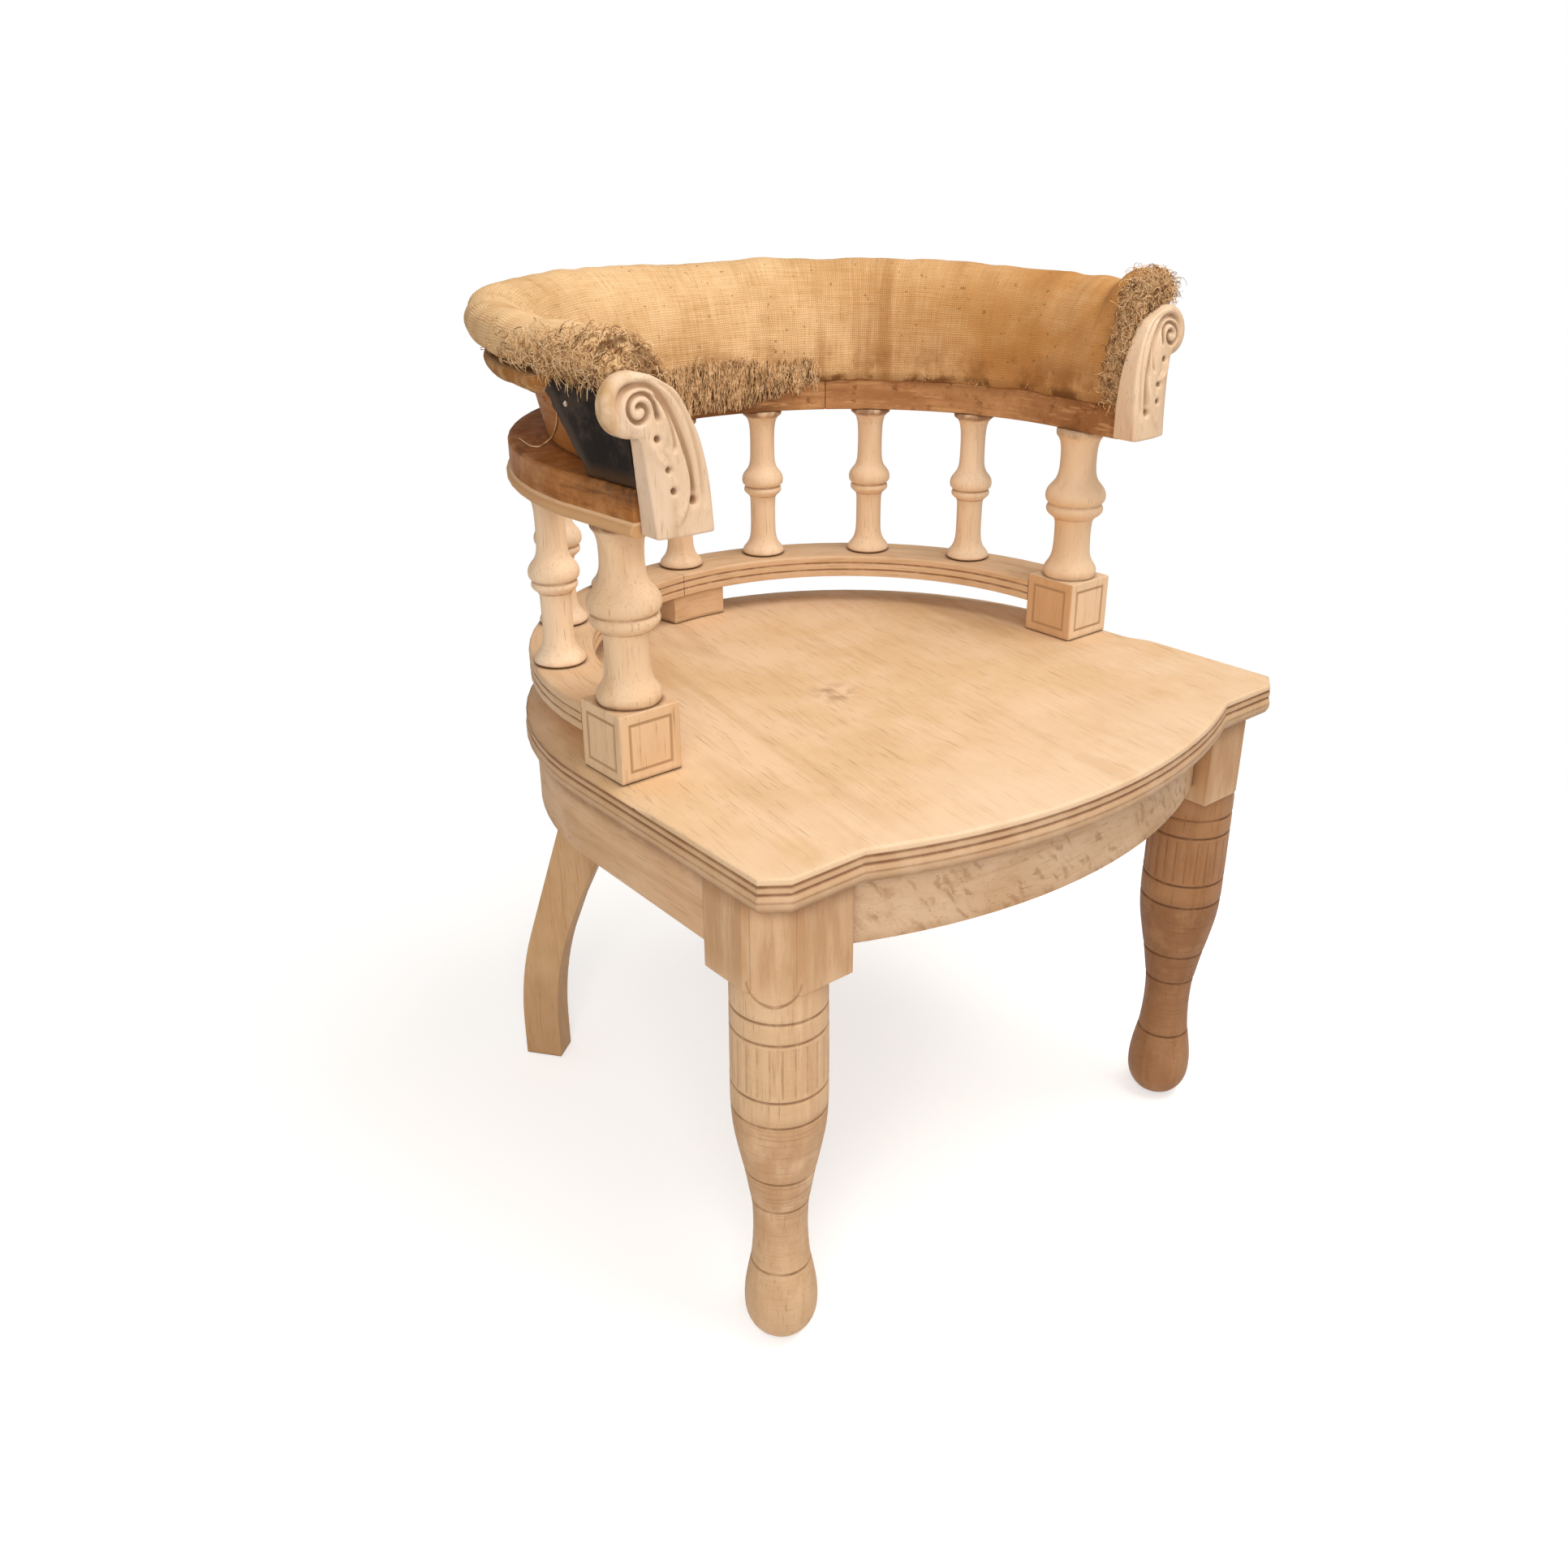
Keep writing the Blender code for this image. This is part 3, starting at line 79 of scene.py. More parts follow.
def shift(maker, *vec):
    bmesh.ops.translate(maker, verts=maker.verts, vec=vec)


def mesh_of(name, maker):
    mesh = bpy.data.meshes.new(name)
    maker.to_mesh(mesh)
    maker.free()
    return mesh


def show(name, data):
    made = bpy.data.objects.new(name, data)
    bpy.context.scene.collection.objects.link(made)
    return made


maker = bmesh.new()
bmesh.ops.create_grid(maker, x_segments=1, y_segments=1, size=12)
shift(maker, 0, 0, -0.0005)
floor = show("studio_floor", mesh_of("studio_floor", maker))
floor_paint = bpy.data.materials.new("studio_floor")
floor_paint.use_nodes = True
tree = floor_paint.node_tree
tree.nodes.clear()
matt = add(tree, "BsdfDiffuse", {"Color": (0.80, 0.79, 0.78, 1)})
paths = add(tree, "LightPath").outputs
seen = sums("MAXIMUM", paths["Is Camera Ray"], paths["Is Glossy Ray"])
seen = sums("MAXIMUM", seen, paths["Is Transmission Ray"])
glow = add(tree, "Emission", {"Color": (1, 1, 1, 1), "Strength": 0.52})
dark = add(tree, "Emission", {"Color": (0, 0, 0, 1), "Strength": 0.0})
lift = add(tree, "MixShader", {0: seen, 1: dark.outputs[0], 2: glow.outputs[0]})
near = add(tree, "AddShader", {0: matt.outputs[0], 1: lift.outputs[0]})
plain = add(tree, "Emission", {"Color": (1, 1, 1, 1), "Strength": 1.0})
spot = add(tree, "TexCoord").outputs["Object"]
reach = add(tree, "VectorMath", {0: spot}, operation="LENGTH").outputs["Value"]
away = times(ease(reach, 0.45, 1.05), seen)
whole = add(tree, "MixShader", {0: away, 1: near.outputs[0], 2: plain.outputs[0]})
add(tree, "OutputMaterial", {"Surface": whole.outputs[0]})
floor.data.materials.append(floor_paint)

surround = bpy.data.worlds.new("studio")
surround.use_nodes = True
tree = surround.node_tree
tree.nodes.clear()
paths = add(tree, "LightPath").outputs
seen = sums("MAXIMUM", paths["Is Camera Ray"], paths["Is Transmission Ray"])
soft = add(tree, "Background", {"Color": (1.0, 0.97, 0.94, 1), "Strength": 0.40})
white = add(tree, "Background", {"Color": (1, 1, 1, 1), "Strength": 1.0})
mixed = add(tree, "MixShader", {0: seen, 1: soft.outputs[0], 2: white.outputs[0]})
add(tree, "OutputWorld", {"Surface": mixed.outputs[0]})
bpy.context.scene.world = surround
bpy.context.scene.view_settings.view_transform = "Standard"

# One broad lamp overhead and to the front right, and a smaller one beside the camera.
# Both are soft and a little warm, as studio lamps with wide covers are.
for name, spot, aim, size, power in (
    ("overhead_lamp", (0.45, -0.65, 2.3), (0, 0, 0.45), 1.4, 31),
    ("camera_lamp", (-1.10, -1.15, 1.20), (-0.12, -0.02, 0.42), 0.8, 12.5),
):
    lamp = bpy.data.lights.new(name, "AREA")
    lamp.energy = power
    lamp.size = size
    lamp.color = (1.0, 0.97, 0.93)
    stand = show(name, lamp)
    stand.location = spot
    stand.rotation_euler = (Vector(aim) - Vector(spot)).to_track_quat("-Z", "Y").to_euler()

# The camera stands to the left of the chair's front and looks down on the seat.
# Its place, turn and lens were fitted to the seat, the rails, the posts and the feet.
eye = bpy.data.cameras.new("view")
eye.sensor_width = 36.0
eye.lens = 31.955
eye.clip_start = 0.01
camera = show("view", eye)
yaw, pitch, roll = 0.68523, 0.43797, 0.00594
ahead = Vector((sin(yaw) * cos(pitch), cos(yaw) * cos(pitch), -sin(pitch)))
across = Vector((cos(yaw), -sin(yaw), 0))
down = ahead.cross(across)
right_hand = across * cos(roll) + down * sin(roll)
downward = down * cos(roll) - across * sin(roll)
camera.matrix_world = Matrix((right_hand, -downward, -ahead)).transposed().to_4x4()
camera.location = (-0.78249, -0.869438, 0.889162)
bpy.context.scene.camera = camera

# The seat: one bow-fronted board of oak, stripped and bleached, its grain running from front to back.
# Dirt is left in the moulded edge, with painted shade on its face and in its cove, and the front is rubbed
# paler than the middle.
ring_middle, ring_reach = -0.008, 0.26


def blend(share, first, second):
    tones = [tone if isinstance(tone, bpy.types.NodeSocket) else (*tone, 1) for tone in (first, second)]
    return add(share.id_data, "Mix", {0: share, 6: tones[0], 7: tones[1]}, data_type="RGBA").outputs[2]


def specks(spot, scale, detail=2.0, rough=0.5, twist=0.0):
    feeds = {"Vector": spot, "Scale": scale, "Detail": detail, "Roughness": rough, "Distortion": twist}
    return add(spot.id_data, "TexNoise", feeds).outputs[0]


def bumps(height, strength, distance):
    feeds = {"Height": height, "Strength": strength, "Distance": distance}
    return add(height.id_data, "Bump", feeds).outputs[0]


def stretch(spot, scale=(1, 1, 1), turn=(0, 0, 0)):
    return add(spot.id_data, "Mapping", {"Vector": spot, "Scale": scale, "Rotation": turn}).outputs[0]


def axes(spot):
    return add(spot.id_data, "SeparateXYZ", {0: spot}).outputs[:]


def gap(spot, place):
    return add(spot.id_data, "VectorMath", {0: spot, 1: place}, operation="DISTANCE").outputs["Value"]


def fresh_paint(name):
    made = bpy.data.materials.new(name)
    made.use_nodes = True
    return made


def shader_of(finish):
    return finish.node_tree.nodes["Principled BSDF"]


def where(finish):
    return add(finish.node_tree, "TexCoord").outputs["Object"]


def ring_spot(spot):
    x, y, z = axes(spot)
    back = sums("SUBTRACT", y, ring_middle)
    run = times(sums("ARCTAN2", x, back), ring_reach)
    far = sums("SQRT", sums("ADD", times(back, back), times(x, x)))
    return add(spot.id_data, "CombineXYZ", {0: run, 1: far, 2: z}).outputs[0]


def oak(name, along, pale, honey, brown, bent=False, fleck=0.0, dirt_and_painted_shade=0.75, turn=0.0):
    made = fresh_paint(name)
    spot = ring_spot(where(made)) if bent else where(made)
    spot = stretch(spot, turn=(0, 0, turn))
    long_spot = stretch(spot, [0.10 if axis == along else 1.0 for axis in "XYZ"])
    fine_spot = stretch(spot, [0.03 if axis == along else 1.0 for axis in "XYZ"])
    tone = specks(spot, 9.0, 4.0, 0.6)
    streak = specks(long_spot, 90.0, 5.0, 0.65, 0.6)
    growth = specks(long_spot, 22.0, 2.0, 0.5, 1.2)
    pores = specks(fine_spot, 900.0, 2.0, 0.6)
    colour = blend(ease(tone, 0.36, 0.66), honey, pale)
    colour = blend(ease(growth, 0.50, 0.72, 0.0, 0.40), colour, brown)
    colour = blend(ease(streak, 0.48, 0.80, 0.0, 0.55), colour, brown)
    if fleck > 0:
        cross = stretch(spot, [2.2 if axis == along else 1.0 for axis in "XYZ"], (0, 0.5, 0.3))
        silk = specks(cross, 70.0, 3.0, 0.55, 2.2)
        colour = blend(ease(silk, 0.54, 0.62, 0.0, fleck), colour, pale)
        colour = blend(ease(silk, 0.46, 0.40, 0.0, fleck * 0.6), colour, brown)
    colour = blend(ease(pores, 0.60, 0.74, 0.0, 0.55), colour, [tint * 0.45 for tint in brown])
    # Occlusion darkens hollows and joins: partly dirt, partly painted shade.
    tucked = add(made.node_tree, "AmbientOcclusion", {"Distance": 0.006}, samples=8).outputs["AO"]
    grime_and_painted_shade = times(ease(tucked, 0.90, 0.38, 0.0, dirt_and_painted_shade), ease(streak, 0.2, 0.6, 0.7, 1.0))
    rough = sums("SUBTRACT", streak, times(ease(pores, 0.58, 0.72), 0.8))
    feed(shader_of(made), {
        "Base Color": blend(grime_and_painted_shade, colour, (0.125, 0.052, 0.020)), "Specular IOR Level": 0.32,
        "Roughness": ease(streak, 0.3, 0.8, 0.52, 0.72), "Normal": bumps(rough, 0.35, 0.0006),
    })
    return made


def repaint(finish, mask, colour):
    old = shader_of(finish).inputs["Base Color"].links[0].from_socket
    feed(shader_of(finish), {"Base Color": blend(mask, old, colour)})


def stripe(value, places, width):
    mask = None
    for place in places:
        near = ease(sums("ABSOLUTE", sums("SUBTRACT", value, place)), width, width * 0.3)
        mask = near if mask is None else sums("MAXIMUM", mask, near)
    return mask


def dress(name, finish, edge=0.0007):
    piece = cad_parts[name]
    piece.data.shade_smooth()
    piece.material_slots[0].material = finish
    piece.modifiers.new("joined", "WELD").merge_threshold = 0.00001
    eased = piece.modifiers.new("eased", "BEVEL")
    eased.width = edge
    eased.segments = 2
    eased.limit_method = "ANGLE"
    eased.angle_limit = radians(32)
    eased.use_clamp_overlap = False
    piece.modifiers.new("flats", "WEIGHTED_NORMAL").keep_sharp = False


seat_oak = oak(
    "seat_oak", "Y", (0.80, 0.565, 0.36), (0.715, 0.475, 0.258), (0.57, 0.345, 0.165), turn=radians(9)
)
spot = where(seat_oak)
y, z = axes(spot)[1:]
rubbed = times(ease(y, -0.10, -0.26), 0.62)
repaint(seat_oak, times(rubbed, ease(specks(spot, 14.0, 4.0), 0.3, 0.6)), (0.80, 0.58, 0.39))
stain = gap(spot, (-0.031, -0.022, 0.447))
blot = times(ease(stain, 0.030, 0.004), ease(specks(spot, 60.0, 3.0), 0.42, 0.62))
repaint(seat_oak, times(blot, 0.7), (0.30, 0.17, 0.09))
patchy = ease(specks(spot, 40.0, 5.0, 0.7), 0.30, 0.62, 0.60, 1.0)
# Below the top the edge is painted browner: patchy dirt, and painted shade on the edge's face.
repaint(seat_oak, times(ease(z, 0.4440, 0.4405, 0.0, 0.72), patchy), (0.56, 0.325, 0.165))
reeds = times(stripe(z, (0.4410, 0.4350), 0.0020), patchy)
repaint(seat_oak, times(reeds, 0.85), (0.29, 0.130, 0.056))
bead_line = times(stripe(z, (0.4292,), 0.0014), patchy)
groove_dirt = (0.26, 0.115, 0.046)
repaint(seat_oak, times(bead_line, 0.55), groove_dirt)
# The cove under the edge is painted darker as painted shade.
painted_shade_cove = times(ease(z, 0.4270, 0.4205), patchy)
repaint(seat_oak, times(painted_shade_cove, 0.70), (0.30, 0.145, 0.06))
dress("seat_board", seat_oak)

# The seat rails: bowed and curved lengths of the same oak under the seat, tenoned into the legs.
# The front one is quarter-sawn, so short rays slant across its grain.
front_oak = oak("front_rail_oak", "X", (0.75, 0.515, 0.33), (0.65, 0.41, 0.225), (0.45, 0.24, 0.105))
rail_oak = oak("side_rail_oak", "Y", (0.80, 0.53, 0.32), (0.71, 0.44, 0.24), (0.48, 0.25, 0.11))
bent_oak = oak("back_rail_oak", "X", (0.76, 0.50, 0.30), (0.68, 0.42, 0.23), (0.46, 0.24, 0.105), bent=True)


def strayed(spot, amount, source, scale):
    sway = add(spot.id_data, "TexNoise", {"Vector": source, "Scale": scale, "Detail": 2.0}).outputs["Color"]
    return add(spot.id_data, "VectorMath", {0: sway, 1: amount, 2: spot}, operation="MULTIPLY_ADD").outputs[0]


spot = where(front_oak)
slanted = stretch(stretch(spot, turn=(0, radians(-52), 0)), (40, 9, 160))
ray_spot = strayed(slanted, (1.3, 0.5, 2.2), spot, 75.0)
ray_gap = add(front_oak.node_tree, "TexVoronoi", {"Vector": ray_spot, "Scale": 1.0}).outputs["Distance"]
rays = times(ease(ray_gap, 0.50, 0.14), ease(specks(spot, 55.0), 0.36, 0.56, 0.25, 1.0))
repaint(front_oak, ease(ray_gap, 0.66, 0.92, 0.0, 0.12), (0.86, 0.64, 0.44))
repaint(front_oak, times(rays, 0.60), (0.38, 0.185, 0.078))
# Under the seat's overhang the rails' tops get a patchy painted shadow of the seat.
under_seat_painted_shadow = (0.30, 0.135, 0.052)
for finish in (front_oak, rail_oak, bent_oak):
    spot = where(finish)
    height = axes(spot)[2]
    patchy = ease(specks(spot, 30.0, 5.0, 0.65), 0.34, 0.62, 0.35, 1.0)
    repaint(finish, times(ease(height, 0.402, 0.4185, 0.0, 0.72), patchy), under_seat_painted_shadow)
    repaint(finish, times(ease(height, 0.368, 0.3605, 0.0, 0.35), patchy), (0.36, 0.18, 0.075))
dress("front_seat_rail", front_oak)
for side in ("left", "right"):
    dress(side + "_seat_rail", rail_oak)
dress("back_seat_rail", bent_oak)

# The front legs: each turned from one square of oak, with a ball foot, a swelling barrel, incised rings
# and a band of short gouged flutes, under a square block whose outer corner is canted to a round tongue.


def put(name, maker, finish, slot, *nodes):
    bmesh.ops.remove_doubles(maker, verts=maker.verts, dist=0.000002)
    bmesh.ops.recalc_face_normals(maker, faces=maker.faces)
    mesh = mesh_of(name, maker)
    mesh.shade_smooth()
    mesh.materials.append(finish)
    made = show(name, mesh)
    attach(made, "root")
    if nodes:
        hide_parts(*nodes)
    return made


def lathe(maker, profile, columns):
    line = [maker.verts.new((radius, 0, z)) for radius, z in profile]
    edges = [maker.edges.new(pair) for pair in zip(line, line[1:])]
    turns = {"cent": (0, 0, 0), "axis": (0, 0, 1), "angle": 2 * pi, "steps": columns}
    bmesh.ops.spin(maker, geom=line + edges, use_merge=True, **turns)
    rims = [edge for edge in maker.edges if edge.is_boundary]
    bmesh.ops.edgeloop_fill(maker, edges=rims)


def between(knots, z):
    for (low_r, low_z), (high_r, high_z) in zip(knots, knots[1:]):
        if low_z <= z <= high_z:
            share = (z - low_z) / (high_z - low_z)
            return low_r + (high_r - low_r) * share
    return knots[-1][0]


def rounded(piece):
    smooth = piece.modifiers.new("rounded", "SUBSURF")
    smooth.levels = smooth.render_levels = 1


def only(kind, geom):
    return [item for item in geom if isinstance(item, kind)]


def sharp(maker, angle):
    return [edge for edge in maker.edges if edge.calc_face_angle(0.0) > angle]


def chamfer(maker, edges, offset, segments=2):
    return bmesh.ops.bevel(
        maker, geom=edges, offset=offset, segments=segments, profile=0.5, affect="EDGES", material=-1
    )["faces"]


leg_x, leg_y = 0.248, -0.208
block_width, block_height, block_z = 0.076, 0.0747, 0.38135
flute_count, flute_depth = 24, 0.0011
cant, tongue_z, tongue_radius, columns = 0.0342, 0.3545, 0.0195, 72
leg_knots = [
    (0.0115, 0.0), (0.0203, 0.0056), (0.0262, 0.0140), (0.0289, 0.0223), (0.0298, 0.031),
    (0.0295, 0.0458), (0.0265, 0.0628), (0.0233, 0.0798), (0.0212, 0.105), (0.0220, 0.1303),
    (0.0270, 0.1619), (0.0333, 0.1935), (0.0362, 0.2099), (0.0373, 0.2314), (0.0373, 0.2731),
    (0.0364, 0.3415),
]
leg_rings = (0.075, 0.137, 0.169, 0.229, 0.252, 0.302, 0.320)
flute_rows = (0.2555, 0.2575, 0.2600, 0.2700, 0.2850, 0.2950, 0.2975, 0.2995)
tongue_rows = [0.3325 + 0.0009 * step for step in range(13)]


def turned_leg_finish(name, pale, honey, brown):
    finish = oak(name, "Z", pale, honey, brown, fleck=0.12)
    shade = [tint * 0.55 for tint in brown]
    spot = where(finish)
    x, y, height = axes(spot)
    east = sums("SUBTRACT", sums("ABSOLUTE", x), leg_x)
    north = sums("SUBTRACT", y, leg_y)
    patchy = ease(specks(spot, 48.0, 4.0, 0.62), 0.30, 0.60, 0.30, 1.0)
    belly = times(ease(height, 0.242, 0.222), ease(height, 0.075, 0.15, 0.35, 1.0))
    repaint(finish, times(belly, patchy, 0.62), brown)
    lathe_marks = specks(stretch(spot, (14, 14, 620)), 1.0, 3.0, 0.7)
    marks = times(ease(lathe_marks, 0.50, 0.72), belly)
    repaint(finish, times(marks, 0.55), shade)
    turn = times(sums("ARCTAN2", north, east), flute_count / (2 * pi))
    beat = sums("PINGPONG", sums("SUBTRACT", turn, flute_count / columns), 0.5)
    band = times(ease(height, 0.2545, 0.2575), ease(height, 0.3000, 0.2965))
    flutes = times(ease(beat, 0.13, 0.03), band, patchy)
    repaint(finish, times(flutes, 0.42), shade)
    # A painted shadow line follows the arc under the canted tongue, beside the dirt in the ring grooves.
    aside = times(sums("ADD", east, north), 0.7071)
    ahead_of = sums("SUBTRACT", east, north)
    rise = sums("SUBTRACT", height, tongue_z)
    square = sums("ADD", times(aside, aside), times(rise, rise))
    painted_shadow_arch = stripe(sums("SQRT", square), (0.0197,), 0.0015)
    low_side = times(ease(rise, 0.0, -0.004), ease(ahead_of, 0.02, 0.03))
    lines = sums("MAXIMUM", stripe(height, leg_rings, 0.0016), times(painted_shadow_arch, low_side))
    repaint(finish, times(lines, patchy, 0.85), shade)
    drips = ease(specks(stretch(spot, (75, 75, 11)), 1.0, 4.0, 0.6), 0.34, 0.62, 0.40, 0.92)
    block = times(ease(height, 0.326, 0.366), drips)
    repaint(finish, block, [0.2 * light + 0.8 * dark for light, dark in zip(honey, brown)])
    # The block's top under the seat gets the same painted shadow as the rails.
    under = times(ease(height, 0.400, 0.4185), patchy)
    repaint(finish, times(under, 0.60), under_seat_painted_shadow)
    return finish


left_leg_oak = turned_leg_finish("left_leg_oak", (0.80, 0.55, 0.34), (0.71, 0.46, 0.26), (0.48, 0.25, 0.11))
right_leg_oak = turned_leg_finish(
    "right_leg_oak", (0.46, 0.235, 0.105), (0.39, 0.178, 0.070), (0.235, 0.095, 0.032)
)
for side, sign, turned_oak in (("left", -1, left_leg_oak), ("right", 1, right_leg_oak)):
    heights = [z for radius, z in leg_knots if all(abs(z - ring) > 0.004 for ring in leg_rings)]
    heights += [*flute_rows, *tongue_rows]
    profile = [(between(leg_knots, z), z) for z in heights]
    for ring in leg_rings:
        for off, cut in ((-0.0032, 0.0), (-0.0013, 0.0), (0.0, 0.0022), (0.0013, 0.0), (0.0032, 0.0)):
            profile.append((between(leg_knots, ring + off) - cut, ring + off))
    profile.sort(key=lambda knot: knot[1])
    profile.append((0.0355, 0.352))
    maker = bmesh.new()
    lathe(maker, profile, columns)
    outward = Vector((1, -1, 0)).normalized()
    for vert in maker.verts:
        column = round(atan2(vert.co.y, vert.co.x) / (2 * pi / columns)) % (columns // flute_count)
        if column == 1 and 0.2570 < vert.co.z < 0.2980:
            inner = 1 - flute_depth / hypot(vert.co.x, vert.co.y)
            vert.co.x *= inner
            vert.co.y *= inner
        lateral = vert.co.cross(outward).z
        foot = tongue_z - max(0.0, tongue_radius ** 2 - lateral ** 2) ** 0.5
        proud = vert.co.dot(outward) - cant
        if abs(lateral) < tongue_radius and vert.co.z > foot and proud > 0:
            vert.co -= outward * proud
    bmesh.ops.scale(maker, verts=maker.verts, vec=(sign, 1, 1))
    shift(maker, sign * leg_x, leg_y, 0)
    rounded(put("front_leg_turning_" + side, maker, turned_oak, "pale_oak", "front_leg_" + side))

    maker = bmesh.new()
    bmesh.ops.create_cube(maker, size=1)
    bmesh.ops.scale(maker, verts=maker.verts, vec=(block_width, block_width, block_height))
    everything = maker.verts[:] + maker.edges[:] + maker.faces[:]
    saw = {"plane_co": outward * cant, "plane_no": outward, "clear_outer": True}
    sawn = only(bmesh.types.BMEdge, bmesh.ops.bisect_plane(maker, geom=everything, **saw)["geom_cut"])
    canted = bmesh.ops.edgeloop_fill(maker, edges=sawn)["faces"][0]
    corners = [edge for edge in canted.edges if abs(edge.verts[0].co.z - edge.verts[1].co.z) > 0.01]
    strips = chamfer(maker, corners, 0.0034, 1)
    bmesh.ops.inset_individual(maker, faces=strips, thickness=0.0007, depth=-0.0014, use_even_offset=True)
    chamfer(maker, sharp(maker, radians(60)), 0.0008)
    bmesh.ops.scale(maker, verts=maker.verts, vec=(sign, 1, 1))
    shift(maker, sign * leg_x, leg_y, block_z)
    cube = put("front_leg_block_" + side, maker, left_leg_oak, "pale_oak", "front_leg_" + side)
    cube.modifiers.new("flats", "WEIGHTED_NORMAL")

# The rear legs: swept boards of oak set at an angle under the back, screwed to the rails from inside.
# The screws are plain steel gone dull, and the glue blocks are offcuts of sawn oak.
rear_oak = oak("rear_leg_oak", "Z", (0.72, 0.45, 0.235), (0.63, 0.37, 0.18), (0.42, 0.21, 0.085))
raw_oak = oak("sawn_oak", "X", (0.58, 0.41, 0.25), (0.52, 0.36, 0.21), (0.38, 0.24, 0.12))
steel = fresh_paint("screw_steel")
rust = ease(specks(where(steel), 400.0, 4.0), 0.5, 0.7)
feed(shader_of(steel), {
    "Base Color": blend(rust, (0.46, 0.44, 0.41), (0.24, 0.12, 0.06)), "Metallic": 1.0,
    "Roughness": ease(rust, 0.0, 1.0, 0.38, 0.75),
})
for side in ("left", "right"):
    dress("rear_leg_" + side, rear_oak, 0.0012)
    for number in ("1", "2"):
        dress(f"rear_leg_screw_{side}_{number}", steel, 0.0002)
for place_name in ("front_left", "front_right", "left", "back", "right"):
    dress("glue_block_" + place_name, raw_oak)

# The arm posts: stout turned balusters, each on a square plinth with an incised panel on every face.
# They are pegged into the seat below and into the arm above.
post_x, post_y = 0.253, -0.038
plinth_width, plinth_height, plinth_z = 0.054, 0.0547, 0.47465


def baluster_oak(name, pale, honey, brown, dirt_and_painted_shade, rings):
    finish = oak(name, "Z", pale, honey, brown, dirt_and_painted_shade=dirt_and_painted_shade)
    spot = where(finish)
    height = axes(spot)[2]
    patchy = ease(specks(spot, 70.0, 4.0, 0.65), 0.32, 0.60, 0.25, 1.0)
    repaint(finish, times(ease(height, 0.6325, 0.6365, 0.0, 0.85), patchy), (0.23, 0.098, 0.036))
    repaint(finish, times(stripe(height, rings, 0.0013), patchy, 0.65), (0.34, 0.165, 0.072))
    return finish


def baluster(profile, columns):
    maker = bmesh.new()
    lathe(maker, profile, columns)
    crease = maker.edges.layers.float.new("crease_edge")
    for edge in maker.edges:
        if len(edge.link_faces) == 2 and edge.calc_face_angle(0.0) > radians(50):
            edge[crease] = 0.7
    return maker


post_oak = baluster_oak(
    "post_oak", (0.84, 0.60, 0.385), (0.77, 0.52, 0.31), (0.56, 0.32, 0.15), 0.78, (0.5030, 0.5585, 0.5716)
)
x, y, z = axes(where(post_oak))
east = sums("ABSOLUTE", sums("SUBTRACT", sums("ABSOLUTE", x), post_x))
north = sums("ABSOLUTE", sums("SUBTRACT", y, post_y))
rise = sums("ABSOLUTE", sums("SUBTRACT", z, plinth_z))
most = sums("MAXIMUM", sums("MAXIMUM", east, north), rise)
least = sums("MINIMUM", sums("MINIMUM", east, north), rise)
total = sums("ADD", sums("ADD", east, north), rise)
in_face = sums("SUBTRACT", sums("SUBTRACT", total, most), least)
panel = times(stripe(in_face, (0.0184,), 0.0018), ease(z, 0.5018, 0.5010))
repaint(post_oak, ease(x, 0.10, 0.20, 0.0, 0.35), (0.94, 0.72, 0.50))
# The right plinth's inner face is painted browner as painted shade.
painted_shade_inner_face = times(ease(x, 0.2275, 0.2265), ease(x, 0.20, 0.21), ease(z, 0.5025, 0.5015, 0.0, 0.55))
repaint(post_oak, painted_shade_inner_face, (0.56, 0.27, 0.085))
repaint(post_oak, times(panel, 0.70), (0.45, 0.245, 0.115))
post_profile = [
    (0.0245, 0.502), (0.0245, 0.5042), (0.0252, 0.5065), (0.0253, 0.5090), (0.0240, 0.5120),
    (0.0205, 0.5165), (0.0182, 0.5220), (0.0172, 0.5297), (0.0170, 0.5420), (0.0172, 0.5555),
    (0.0195, 0.5588), (0.0240, 0.5615), (0.0264, 0.5645), (0.0268, 0.5672), (0.0262, 0.5695),
    (0.0246, 0.5712), (0.0246, 0.5720), (0.0268, 0.5738), (0.0282, 0.5770), (0.0282, 0.5805),
    (0.0272, 0.5845), (0.0242, 0.5885), (0.0205, 0.5922), (0.0178, 0.5975), (0.0167, 0.6050),
    (0.0166, 0.6180), (0.0172, 0.6255), (0.0186, 0.6310), (0.0212, 0.6345), (0.0222, 0.6358),
    (0.0222, 0.6407),
]
for side, sign in (("left", -1), ("right", 1)):
    maker = bmesh.new()
    bmesh.ops.create_cube(maker, size=1)
    bmesh.ops.scale(maker, verts=maker.verts, vec=(plinth_width, plinth_width, plinth_height))
    shift(maker, 0, 0, plinth_z)
    walls = [face for face in maker.faces if abs(face.normal.z) < 0.5]
    rim = sharp(maker, 1.0)
    for thickness, depth in ((0.0075, 0.0), (0.0013, -0.0012), (0.0013, 0.0012)):
        bmesh.ops.inset_individual(maker, faces=walls, thickness=thickness, depth=depth, use_even_offset=True)
    chamfer(maker, rim, 0.0010)
    shift(maker, sign * post_x, post_y, 0)
    plinth = put("arm_post_plinth_" + side, maker, post_oak, "pale_oak", "arm_post_" + side)
    plinth.modifiers.new("flats", "WEIGHTED_NORMAL")
    maker = baluster(post_profile, 40)
    shift(maker, sign * post_x, post_y, 0)
    rounded(put("arm_post_turning_" + side, maker, post_oak, "pale_oak", "arm_post_" + side))

